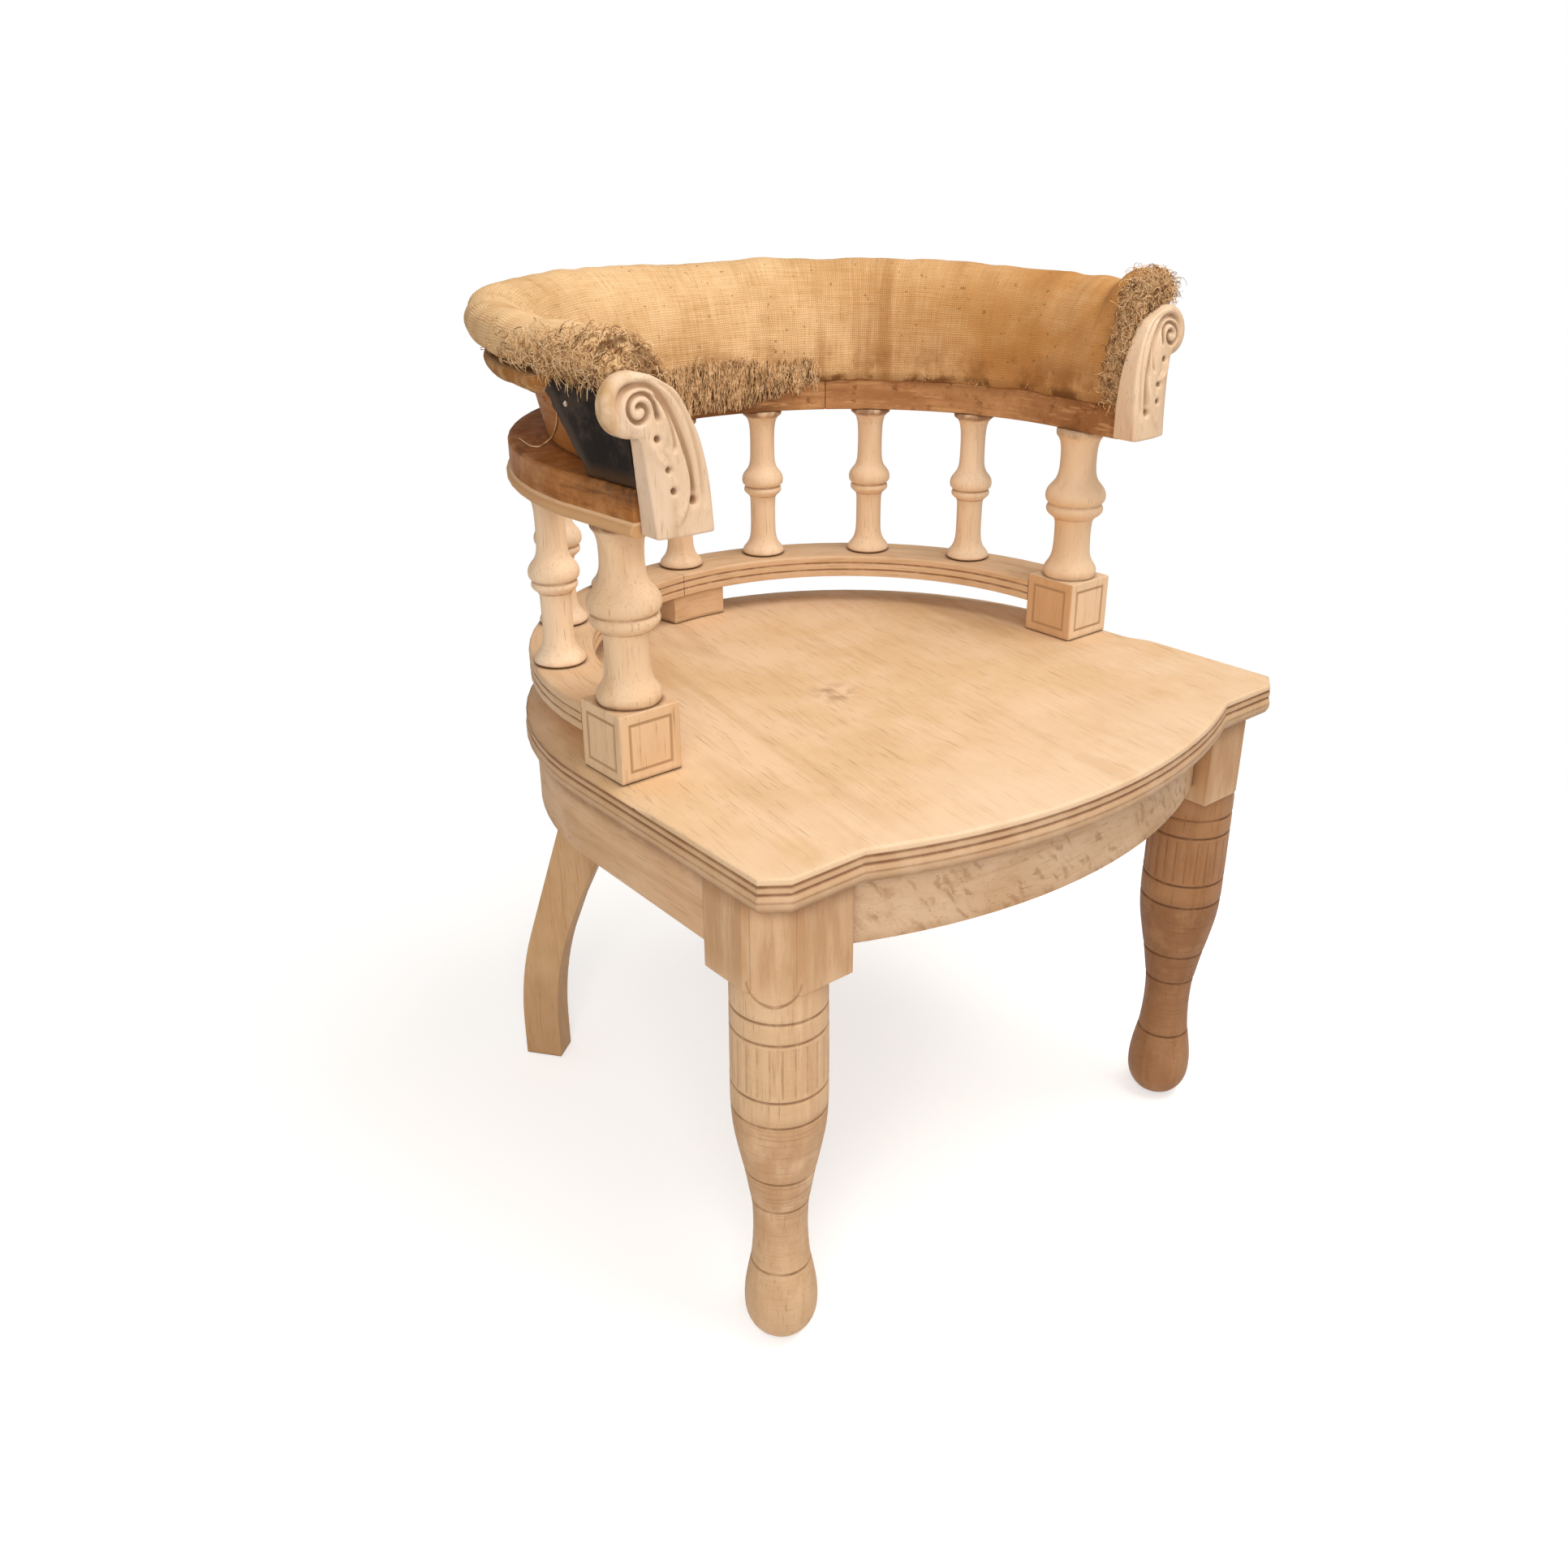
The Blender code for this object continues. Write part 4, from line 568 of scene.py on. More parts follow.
# The gallery: a rail bent in two halves round the back of the seat, with two grooves along each face.
# It is tenoned into the plinths, and a curved spacer carries its joint.
gallery_oak = oak("gallery_oak", "X", (0.76, 0.52, 0.32), (0.68, 0.44, 0.25), (0.48, 0.27, 0.12), bent=True)
spot = where(gallery_oak)
height = axes(spot)[2]
patchy = ease(specks(spot, 60.0, 4.0, 0.6), 0.30, 0.58, 0.35, 1.0)
lines = stripe(height, (0.4820, 0.4890), 0.0014)
repaint(gallery_oak, times(lines, patchy, 0.80), groove_dirt)
for name in ("gallery_rail_left", "gallery_rail_right", "gallery_spacer"):
    dress(name, gallery_oak, 0.0006)

# The spindles: seven slender balusters of the same pattern as the posts, pegged between gallery and arm.
# They are stripped paler than the rest, with old stain left under the arm and in the turned rings.
spindle_oak = baluster_oak(
    "spindle_oak", (0.91, 0.70, 0.49), (0.85, 0.62, 0.41), (0.62, 0.39, 0.21), 0.75, (0.4970, 0.5560, 0.5655)
)
spindle_ring = 0.257
spindle_profile = [
    (0.0205, 0.4963), (0.0212, 0.4970), (0.0212, 0.4995), (0.0203, 0.5020), (0.0182, 0.5042),
    (0.0152, 0.5080), (0.0137, 0.5125), (0.0127, 0.5180), (0.0125, 0.5300), (0.0126, 0.5520),
    (0.0132, 0.5548), (0.0152, 0.5570), (0.0178, 0.5590), (0.0189, 0.5608), (0.0190, 0.5625),
    (0.0186, 0.5640), (0.0175, 0.5652), (0.0175, 0.5658), (0.0196, 0.5672), (0.0208, 0.5695),
    (0.0209, 0.5730), (0.0201, 0.5762), (0.0180, 0.5795), (0.0146, 0.5830), (0.0128, 0.5880),
    (0.0121, 0.5950), (0.0120, 0.6150), (0.0125, 0.6240), (0.0138, 0.6310), (0.0165, 0.6348),
    (0.0192, 0.6363), (0.0196, 0.6370), (0.0196, 0.6407),
]
for number, degrees_round in enumerate((-69.0, -45.5, -21.0, 0.0, 21.0, 45.5, 69.0), 1):
    turn = radians(degrees_round)
    maker = baluster(spindle_profile, 32)
    bmesh.ops.rotate(maker, verts=maker.verts, cent=(0, 0, 0), matrix=Matrix.Rotation(number * 1.7, 3, "Z"))
    shift(maker, spindle_ring * sin(turn), ring_middle + spindle_ring * cos(turn), 0)
    rounded(put(f"turned_spindle_{number}", maker, spindle_oak, "pale_oak", f"spindle_{number}"))

# The arm bow: three lengths of raw brown oak, sawn to the curve and butted, with a paler rubbed bead below.
# Painted shadow darkens it beside the left console below the roll, and on its inner face under the roll and
# the fringe that hangs from it.
arm_oak = oak("arm_oak", "X", (0.66, 0.36, 0.165), (0.55, 0.275, 0.115), (0.31, 0.135, 0.046), bent=True)
spot = where(arm_oak)
x, y, z = axes(spot)
run = axes(ring_spot(spot))[0]
patchy = ease(specks(spot, 38.0, 5.0, 0.65), 0.34, 0.60, 0.25, 1.0)
back = sums("MAXIMUM", sums("SUBTRACT", y, ring_middle), 0.0)
reach = sums("SQRT", sums("ADD", times(back, back), times(x, x)))
inner_face = ease(reach, 0.2440, 0.2405)
# Painted shade and shadow fall on the inner face under the roll and its hanging fringe.
painted_shadow_under_fringe = times(ease(run, -0.06, -0.01), ease(run, 0.135, 0.085))
painted_shade_under_roll = times(ease(z, 0.662, 0.674, 0.15, 0.9), inner_face)
repaint(arm_oak, times(painted_shade_under_roll, patchy), (0.23, 0.092, 0.030))
repaint(arm_oak, times(painted_shadow_under_fringe, inner_face, 0.85), (0.105, 0.042, 0.015))
repaint(arm_oak, times(inner_face, patchy, 0.40), (0.30, 0.125, 0.046))
outer_face = ease(reach, 0.2440, 0.2500)
mottled = ease(specks(spot, 62.0, 5.0, 0.68), 0.36, 0.60, 0.55, 1.0)
rubbed_face = times(outer_face, ease(z, 0.6490, 0.6525))
repaint(arm_oak, times(rubbed_face, mottled), (0.375, 0.138, 0.034))
repaint(arm_oak, times(outer_face, ease(z, 0.6520, 0.6495, 0.0, 0.80)), (0.66, 0.385, 0.185))
# A painted highlight runs along the bead's upper edge.
repaint(arm_oak, times(outer_face, stripe(z, (0.6508,), 0.0016)), (0.78, 0.50, 0.28))
grain_run = specks(stretch(ring_spot(spot), (26, 90, 230)), 1.0, 4.0, 0.65)
streaks = ease(grain_run, 0.50, 0.68, 0.0, 0.62)
repaint(arm_oak, times(rubbed_face, streaks), (0.15, 0.056, 0.018))
toward_right = times(ease(run, 0.36, 0.45, 0.0, 0.72), inner_face)
repaint(arm_oak, times(toward_right, mottled), (0.225, 0.078, 0.024))
blots = times(ease(specks(spot, 90.0, 4.0, 0.7), 0.56, 0.70, 0.0, 0.65), inner_face)
repaint(arm_oak, blots, (0.16, 0.060, 0.020))
repaint(arm_oak, times(inner_face, ease(grain_run, 0.47, 0.34, 0.0, 0.60)), (0.66, 0.37, 0.17))
# Beside the left console, the arm's top just below the roll gets a patchy painted shadow.
painted_shadow_below_roll = times(ease(y, -0.010, -0.062), ease(x, -0.20, -0.24))
above_bead = ease(z, 0.656, 0.673)
repaint(arm_oak, times(painted_shadow_below_roll, above_bead, patchy), (0.095, 0.040, 0.016))
feed(shader_of(arm_oak), {"Specular IOR Level": 0.12})
for length in ("left", "back", "right"):
    dress("arm_bow_" + length, arm_oak, 0.0010)

# The crest core: an upright sawn board, bent round on the arm, that carries the stuffed roll.
# Its outer face stands bare where the lining has been torn away, and is as brown as the arm.
core_oak = oak("core_oak", "X", (0.54, 0.215, 0.050), (0.43, 0.160, 0.035), (0.22, 0.076, 0.017), bent=True)
feed(shader_of(core_oak), {"Specular IOR Level": 0.12})
for length in ("left", "back", "right"):
    dress("crest_core_" + length, core_oak)

# The scroll consoles: carved blocks of pale oak that close the arms' ends, tenoned on the arms.
# The face leans back to a spiral volute at the top, and flutes and a leaf with drilled eyes run down it.
left_console_oak = oak(
    "left_console_oak", "Z", (0.76, 0.56, 0.40), (0.70, 0.50, 0.33), (0.54, 0.34, 0.19), dirt_and_painted_shade=0.85
)
right_console_oak = oak(
    "right_console_oak", "Z", (0.82, 0.605, 0.425), (0.76, 0.54, 0.355), (0.58, 0.375, 0.21), dirt_and_painted_shade=0.85
)
# The carved grooves are darkened by their depth as painted shade, less on the right console.
for finish, painted_groove_shade in ((left_console_oak, 0.65), (right_console_oak, 0.35)):
    cut = add(finish.node_tree, "Attribute", attribute_name="cut").outputs["Fac"]
    repaint(finish, ease(cut, 0.0012, 0.0042, 0.0, painted_groove_shade), (0.34, 0.165, 0.068))
    spot = where(finish)
    blotchy = ease(specks(spot, 80.0, 4.0), 0.32, 0.60, 0.3, 0.9)
    stained = times(ease(axes(spot)[0], -0.2890, -0.2990), blotchy)
    repaint(finish, stained, (0.52, 0.31, 0.135))
volute_eye = Vector((0.2814, 0.7285))
face_y, block_depth, carved_depth, lean = -0.114, 0.0198, 0.0140, 0.115


def flowing(points):
    line = []
    ends = [Vector(point) for point in (points[0], *points, points[-1])]
    for before, start, end, after in zip(ends, ends[1:], ends[2:], ends[3:]):
        count = max(2, int((end - start).length / 0.0004))
        for step in range(count):
            t = step / count
            bend = (2 * before - 5 * start + 4 * end - after) * t
            bend += (3 * start - before - 3 * end + after) * t * t
            line.append(start + (end - before + bend) * 0.5 * t)
    return line + [ends[-1]]


def stroke(points, width=0.001, depth=0.0, start=0.12, end=0.12):
    line = flowing(points)
    near = kdtree.KDTree(len(line))
    for number, (x, z) in enumerate(line):
        near.insert((x, 0, z), number)
    near.balance()
    return near, len(line) - 1, width, depth, start, end


def ramp(value, low, high):
    share = min(max((value - low) / (high - low), 0.0), 1.0)
    return share * share * (3 - 2 * share)


def volute_rim(turn):
    return 0.0185 + 0.0051 * ramp(turn, -1.75, 1.4)


inner_edge = [
    (0.2772, 0.7520), (0.2657, 0.7487), (0.2569, 0.7439), (0.2480, 0.7380), (0.2426, 0.7299),
    (0.2372, 0.7190), (0.2321, 0.7053), (0.2288, 0.6891), (0.2272, 0.6726), (0.2270, 0.6562),
    (0.2270, 0.6432),
]
edge_line = stroke(inner_edge)
strokes = [
    stroke([
        (0.2350, 0.6586), (0.2346, 0.6764), (0.2359, 0.6953), (0.2393, 0.7115), (0.2449, 0.7260),
        (0.2527, 0.7370), (0.2620, 0.7439), (0.2700, 0.7470),
    ], 0.0016, 0.0021),
    stroke([
        (0.2418, 0.6657), (0.2425, 0.6776), (0.2439, 0.6938), (0.2480, 0.7099), (0.2534, 0.7245),
        (0.2609, 0.7364), (0.2695, 0.7425), (0.2789, 0.7432), (0.2880, 0.7398), (0.2926, 0.7318),
        (0.2912, 0.7222), (0.2845, 0.7163),
    ], 0.0025, 0.0040, 0.06, 0.22),
    stroke([
        (0.2547, 0.6978), (0.2531, 0.7054), (0.2549, 0.7176), (0.2599, 0.7302), (0.2660, 0.7375),
    ], 0.0015, 0.0027),
    stroke([
        (0.2645, 0.7190), (0.2652, 0.7262), (0.2666, 0.7324), (0.2702, 0.7366), (0.2752, 0.7380),
        (0.2806, 0.7367), (0.2845, 0.7337), (0.2862, 0.7293), (0.2851, 0.7245), (0.2816, 0.7212),
        (0.2772, 0.7208), (0.2733, 0.7233), (0.2720, 0.7268), (0.2735, 0.7301), (0.2769, 0.7313),
        (0.2796, 0.7294), (0.2788, 0.7266),
    ], 0.0017, 0.0041, 0.06, 0.06),
    stroke([(0.2612, 0.7029), (0.2600, 0.7166), (0.2624, 0.7290)], 0.0024, -0.0018, 0.3, 0.3),
    stroke([(0.2621, 0.6900), (0.2690, 0.6985), (0.2715, 0.7090)], 0.0024, -0.0016, 0.3, 0.3),
    stroke([
        (0.2601, 0.6512), (0.2556, 0.6553), (0.2498, 0.6664), (0.2466, 0.6808), (0.2463, 0.6966),
    ], 0.0025, -0.0024, 0.2, 0.3),
    stroke([(0.2560, 0.6800), (0.2590, 0.6930), (0.2650, 0.7020)], 0.0014, 0.0014, 0.3, 0.3),
]
drilled_eyes = (
    (0.2670, 0.7088, 0.0019, 0.0050), (0.2604, 0.6881, 0.0019, 0.0050),
    (0.2581, 0.6741, 0.0020, 0.0052), (0.2431, 0.6659, 0.0027, 0.0060),
)


def carving(x, z):
    inset = edge_line[0].find((x, 0, z))[2]
    form = 0.0026 * (1 - min(inset / 0.0035, 1.0) ** 0.5)
    depth = 0.0
    for near, last, width, cut, start, end in strokes:
        number, off = near.find((x, 0, z))[1:]
        if off < 2.6 * width:
            share = number / last
            depth += cut * exp(-(off / width) ** 2) * min(1.0, share / start, (1 - share) / end)
    for eye_x, eye_z, size, drilled in drilled_eyes:
        depth += drilled * exp(-(hypot(x - eye_x, z - eye_z) / size) ** 2)
    across, up = x - volute_eye.x, z - volute_eye.y
    reach, turn = hypot(across, up), atan2(up, across)
    outside = ramp(turn, -1.95, -1.45) * (1 - ramp(turn, 1.35, 2.1))
    rim = volute_rim(turn)
    over = min(max((reach - rim + 0.0075) / 0.0075, 0.0), 1.0)
    form += (0.0026 * ramp(reach, 0.006, 0.017) + 0.0055 * (1 - (1 - over * over) ** 0.5)) * outside
    return depth, form


for side, sign, console_oak in (("left", -1, left_console_oak), ("right", 1, right_console_oak)):
    outline = [
        (0.2270, 0.6432), (0.2725, 0.6432), (0.2732, 0.6583), (0.2750, 0.6797), (0.2768, 0.7009),
        (0.2776, 0.7075),
    ]
    for step in range(27):
        turn = radians(-98 + 190 * step / 26)
        rim = volute_rim(turn)
        outline.append((volute_eye.x + rim * cos(turn), volute_eye.y + rim * sin(turn)))
    outline += [tuple(point) for point in flowing(inner_edge)[::6][:-1]]
    maker = bmesh.new()
    face = maker.faces.new([maker.verts.new((x, face_y, z)) for x, z in outline])
    deep = bmesh.ops.extrude_face_region(maker, geom=[face])["geom"]
    bmesh.ops.translate(maker, verts=only(bmesh.types.BMVert, deep), vec=(0, block_depth, 0))
    bmesh.ops.recalc_face_normals(maker, faces=maker.faces)
    chamfer(maker, sharp(maker, radians(50)), 0.0010)
    blank = show("console_blank", mesh_of("console_blank", maker))
    fine = blank.modifiers.new("fine", "REMESH")
    fine.mode = "VOXEL"
    fine.voxel_size = 0.0007
    maker = bmesh.new()
    maker.from_object(blank, bpy.context.evaluated_depsgraph_get())
    bpy.data.objects.remove(blank, do_unlink=True)
    cut = maker.verts.layers.float.new("cut")
    for vert in maker.verts:
        share = min(max((face_y + carved_depth - vert.co.y) / carved_depth, 0.0), 1.0)
        forward = min(max((-0.0945 - vert.co.y) / 0.0195, 0.0), 1.0)
        depth, form = carving(vert.co.x, vert.co.z)
        vert[cut] = depth * share
        vert.co.y += (depth + form) * share + lean * (vert.co.z - 0.6865) * forward
    bmesh.ops.smooth_vert(
        maker, verts=maker.verts, factor=0.4, use_axis_x=True, use_axis_y=True, use_axis_z=True
    )
    if sign < 0:
        bmesh.ops.scale(maker, verts=maker.verts, vec=(-1, 1, 1))
    put("carved_console_" + side, maker, console_oak, "pale_oak", "scroll_console_" + side)

# The outside lining: a torn remnant of dull black cloth, left only on the left arm near its console.
# It is stretched from the arm's top to the roll's lip. One tack holds it, and one is left in the core.


def ribs(feeds, direction):
    return add(feeds["Vector"].id_data, "TexWave", feeds, bands_direction=direction).outputs[1]


lining_cloth = fresh_paint("lining_cloth")
spot = where(lining_cloth)
fine_weave = {"Vector": spot, "Scale": 420.0, "Distortion": 1.5}
dust = ease(specks(spot, 45.0, 5.0, 0.7), 0.42, 0.75, 0.0, 0.75)
y, z = axes(spot)[1:]
torn_side = sums("SUBTRACT", y, times(z, 0.57))
worn = sums("MAXIMUM", dust, ease(torn_side, -0.4375, -0.4250, 0.0, 0.85))
colour = blend(worn, (0.016, 0.012, 0.010), (0.090, 0.064, 0.048))
weave = sums("ADD", ribs(fine_weave, "Y"), ribs(fine_weave, "Z"))
feed(shader_of(lining_cloth), {
    "Base Color": blend(ease(z, 0.688, 0.676, 0.0, 0.8), colour, (0.085, 0.040, 0.017)),
    "Roughness": 0.92, "Specular IOR Level": 0.2, "Normal": bumps(weave, 0.4, 0.0004),
})
maker = bmesh.new()
bmesh.ops.create_grid(maker, x_segments=40, y_segments=32, size=0.5)
foot_z, lining_height = 0.6748, 0.0632
for vert in maker.verts:
    along, up = vert.co.x + 0.5, vert.co.y + 0.5
    z = foot_z + lining_height * up
    ragged = 0.0022 * noise.noise((0, 7, z * 190)) + 0.0030 * noise.noise((3, 0, z * 60))
    torn = 0.053 + 0.043 * up + ragged * along
    y = -0.0934 + along * torn
    pucker = 0.0012 * noise.noise((0, y * 45, z * 25)) + 0.0008 * noise.noise((5, y * 110, z * 60)) * along
    vert.co = (-0.2785 - 0.0060 * (z - foot_z) / 0.0494 + pucker - 0.058 * (y - ring_middle), y, z)
lining = put("lining_remnant", maker, lining_cloth, "black_cloth", "outside_lining")
thick = lining.modifiers.new("thick", "SOLIDIFY")
thick.thickness = 0.0008
thick.offset = 0.0
tack_paint = fresh_paint("tack_heads")
spot = where(tack_paint)
rust = ease(specks(spot, 900.0, 3.0), 0.42, 0.62)
shine = blend(ease(axes(spot)[1], 0.0, -0.01), (0.62, 0.27, 0.07), (0.80, 0.76, 0.70))
feed(shader_of(tack_paint), {
    "Base Color": blend(rust, shine, (0.34, 0.17, 0.08)), "Roughness": ease(rust, 0.0, 1.0, 0.45, 0.8),
})
tacks = (
    ((-0.2838, -0.0267, 0.7227), (-1, 0, 0)),
    ((-0.2503, 0.0605, 0.7110), (-0.965, 0.263, 0)),
)
maker = bmesh.new()
for spot, facing in tacks:
    kept = set(maker.verts)
    lathe(maker, [(0.0021, -0.0006), (0.0021, 0.0002), (0.0015, 0.0010), (0.0006, 0.0013)], 10)
    fresh = [vert for vert in maker.verts if vert not in kept]
    tilt = Vector(facing).to_track_quat("Z", "Y").to_matrix()
    bmesh.ops.rotate(maker, verts=fresh, cent=(0, 0, 0), matrix=tilt)
    bmesh.ops.translate(maker, verts=fresh, vec=spot)
put("lining_tacks", maker, tack_paint, "dull_steel")

# The crest roll: horsehair stuffing under coarse hessian, lapped over the core and slack with age.
# Cloth simulation swells a slightly smaller form, and then its sags, crease and torn lip are worked in.
# It swells for a few frames only, because longer runs drift apart by rounding.
roll_section = [
    (0.2400, 0.6745), (0.2440, 0.6915), (0.2480, 0.7087), (0.2520, 0.7258), (0.2560, 0.7430),
    (0.2615, 0.7430), (0.2670, 0.7430), (0.2651, 0.7347), (0.2700, 0.7312), (0.2750, 0.7285),
    (0.2805, 0.7262), (0.2860, 0.7256), (0.2910, 0.7278), (0.2940, 0.7320), (0.2950, 0.7368),
    (0.2935, 0.7412), (0.2912, 0.7446), (0.2945, 0.7464), (0.2985, 0.7488), (0.3025, 0.7525),
    (0.3055, 0.7578), (0.3064, 0.7636), (0.3046, 0.7694), (0.3004, 0.7736), (0.2950, 0.7762),
    (0.2892, 0.7774), (0.2835, 0.7774), (0.2778, 0.7762), (0.2722, 0.7736), (0.2668, 0.7698),
    (0.2618, 0.7652), (0.2573, 0.7596), (0.2533, 0.7534), (0.2498, 0.7466), (0.2468, 0.7394),
    (0.2442, 0.7320), (0.2422, 0.7244), (0.2404, 0.7168), (0.2390, 0.7092), (0.2380, 0.7016),
    (0.2374, 0.6940), (0.2370, 0.6866), (0.2369, 0.6796), (0.2372, 0.6736), (0.2380, 0.6690),
    (0.2393, 0.6690), (0.2394, 0.6738),
]


def onward(maker, geom, *way):
    step = [part / arm_steps for part in way]
    for _ in range(arm_steps):
        geom = bmesh.ops.extrude_edge_only(maker, edges=only(bmesh.types.BMEdge, geom))["geom"]
        bmesh.ops.translate(maker, verts=only(bmesh.types.BMVert, geom), vec=step)
    return geom


roll_front, toe_in, arm_steps = -0.0932, 0.005, 16
arm_length = ring_middle - roll_front
maker = bmesh.new()
girth = maker.verts.layers.float.new("girth")
line = []
wound = 0.0
for radius, z in roll_section:
    here = Vector((toe_in - radius, roll_front, z))
    if line:
        wound += (here - line[-1].co).length
    line.append(maker.verts.new(here))
    line[-1][girth] = wound
loop = [maker.edges.new((line[step - 1], line[step])) for step in range(len(line))]
left_arm = onward(maker, line + loop, -toe_in, arm_length, 0)
spun = bmesh.ops.spin(
    maker, geom=only((bmesh.types.BMVert, bmesh.types.BMEdge), left_arm),
    cent=(0, ring_middle, 0), axis=(0, 0, 1), angle=-pi, steps=150, use_merge=False,
)["geom_last"]
right_arm = onward(maker, spun, -toe_in, -arm_length, 0)
for rim in (loop, only(bmesh.types.BMEdge, right_arm)):
    cap = bmesh.ops.edgeloop_fill(maker, edges=rim)["faces"]
    bmesh.ops.triangulate(maker, faces=cap)
bmesh.ops.recalc_face_normals(maker, faces=maker.faces)
held = [
    vert.index for vert in maker.verts
    if vert[girth] < 0.0975 or vert[girth] > wound - 0.0100 or vert.co.y < -0.0925
]
roll_form = mesh_of("roll_form", maker)
stuffing = show("roll_form", roll_form)
stuffing.vertex_groups.new(name="held").add(held, 1.0, "REPLACE")
swelling = stuffing.modifiers.new("swelling", "CLOTH")
swelling.settings.use_pressure = True
swelling.settings.uniform_pressure_force = 4.0
swelling.settings.effector_weights.gravity = 0.0
swelling.settings.vertex_group_mass = "held"
swelling.collision_settings.use_collision = False
swelling_frames, most_swell = 6, 0.006
for moment in range(1, swelling_frames + 1):
    bpy.context.scene.frame_set(moment)
graph = bpy.context.evaluated_depsgraph_get()
swollen = [vert.co.copy() for vert in stuffing.evaluated_get(graph).data.vertices]
bpy.context.scene.frame_set(1)
maker = bmesh.new()
maker.from_mesh(roll_form)
bpy.data.objects.remove(stuffing, do_unlink=True)
for vert, grown in zip(maker.verts, swollen):
    move = grown - vert.co
    vert.co += move * min(1.0, most_swell / max(move.length, 0.000001))


def ring_place(spot):
    back = spot.y - ring_middle
    if back > 0:
        way = atan2(spot.x, back)
        return ring_reach * way, hypot(spot.x, back), Vector((sin(way), cos(way), 0))
    side = 1 if spot.x > 0 else -1
    return side * (ring_reach * pi / 2 - back), abs(spot.x), Vector((side, 0, 0))


bare = maker.verts.layers.float.new("bare")
girth = maker.verts.layers.float["girth"]
maker.normal_update()
for vert in maker.verts:
    run, radius, away = ring_place(vert.co)
    start = roll_form.vertices[vert.index].co.copy()
    free = ramp(vert[girth], 0.0975, 0.110) * ramp(vert[girth], wound - 0.006, wound - 0.016)
    lump = 0.0030 * noise.noise((run * 13, start.z * 18, 2))
    lump += 0.0016 * noise.noise((run * 34, start.z * 40, 9))
    pulls = 0.0007 * noise.noise((run * 120, start.z * 9, 4))
    vert.co += vert.normal * (lump + pulls) * free
    tall = ramp(start.z, 0.700, 0.775)
    vert.co.z += tall * (0.0018 * noise.noise((run * 15, 1, 7)) + 0.0012 * noise.noise((run * 41, 5, 3)))
    vert.co.z += tall * (0.0040 * exp(-((run + 0.14) / 0.09) ** 2) - 0.0085 * ramp(run, 0.22, 0.44))
    tuft = ramp(run, 0.446, 0.468) * ramp(start.z, 0.735, 0.765)
    vert.co.z += 0.0115 * tuft
    vert.co -= away * 0.0040 * tuft * ramp(0.284 - radius, -0.004, 0.012)
    if vert[girth] > wound - 0.030:
        vert.co.z += 0.0022 * noise.noise((run * 28, 3, 1)) + 0.0014 * noise.noise((run * 95, 2, 8))
    knob = 0.0036 * exp(-((run + 0.225) / 0.022) ** 2) - 0.0032 * exp(-((run + 0.180) / 0.014) ** 2)
    vert.co += away * knob * ramp(radius, 0.286, 0.300)
    if 0.128 < vert[girth] < 0.147:
        vert.co -= away * 0.0030 * exp(-((vert[girth] - 0.1375) / 0.004) ** 2)
    lifted = ramp(run, -0.398, -0.420) * ramp(radius, 0.268, 0.276)
    if start.z < 0.7440 and vert[girth] > 0.095:
        vert.co.z += (0.7435 - start.z) * 0.86 * lifted
        vert.co -= away * 0.0030 * lifted
    tucked = ramp(start.y, -0.0800, roll_front) * free
    vert.co.z += (0.742 - start.z) * 0.09 * tucked
    vert.co -= away * (radius - 0.268) * 0.10 * tucked
    swing = atan2(start.z - 0.752, radius - 0.284) * 180 / pi
    ragged = 34 * noise.noise(start * 60) + 22 * noise.noise(start * 170)
    limit = 36 - start.y * 900 + ragged
    share = 0.0
    if start.x < 0 and start.y < 0.13 and radius > 0.236 and start.z > 0.7480 and swing > -75:
        share = 0.9 * ramp(limit - swing, -10, 50) * ramp(start.y, 0.075, 0.035)
    if start.y < -0.050:
        reach = -0.080 if start.x < 0 else -0.0745
        share = max(share, ramp(start.y + 0.006 * noise.noise(start * 130), reach + 0.004, reach - 0.004))
    hang = ramp(run, -0.035, -0.005) * ramp(run, 0.125, 0.085)
    share = max(share, hang * ramp(start.z + 0.010 * noise.noise(start * 90), 0.692, 0.682) * free)
    vert[bare] = share
roll_spots = [(face.calc_center_median(), face.normal.copy()) for face in maker.faces]
roll_bare, roll_girth = (
    [sum(vert[layer] for vert in face.verts) / len(face.verts) for face in maker.faces]
    for layer in (bare, girth)
)

hessian = fresh_paint("hessian")
tree = hessian.node_tree
plain_spot = where(hessian)
x, y = axes(plain_spot)[:2]
spot = ring_spot(plain_spot)
run, _, z = axes(spot)
round_way = add(tree, "Attribute", attribute_name="girth").outputs["Fac"]
worn_through = add(tree, "Attribute", attribute_name="bare").outputs["Fac"]
cloth_spot = add(tree, "CombineXYZ", {0: run, 1: round_way}).outputs[0]
thread_spot = strayed(cloth_spot, (0.004, 0.004, 0), cloth_spot, 55.0)
slub = {"Vector": thread_spot, "Scale": 150.0, "Distortion": 0.6, "Detail": 1.0, "Detail Scale": 2.0}
weave = times(sums("ADD", ribs(slub, "X"), ribs(slub, "Y")), 0.5)
long_warp, long_weft = (
    specks(stretch(cloth_spot, scale), 1.0, 2.0) for scale in ((420, 26, 1), (26, 420, 1))
)
threads = sums("ADD", long_warp, long_weft)
tone = specks(spot, 11.0, 5.0, 0.62)
colour = blend(ease(tone, 0.36, 0.64), (0.66, 0.40, 0.185), (0.83, 0.55, 0.29))
raised, sunk = ease(threads, 0.95, 1.35, 0.0, 0.45), ease(threads, 0.95, 0.62, 0.0, 0.45)
blotch = ease(specks(spot, 8.0, 5.0, 0.62), 0.32, 0.62, 0.40, 1.0)
# To the right the cloth darkens: old damp stain, and painted shade on faces turned from the lamps.
damp_stain_and_painted_shade = times(ease(run, 0.06, 0.42, 0.0, 0.88), blotch)
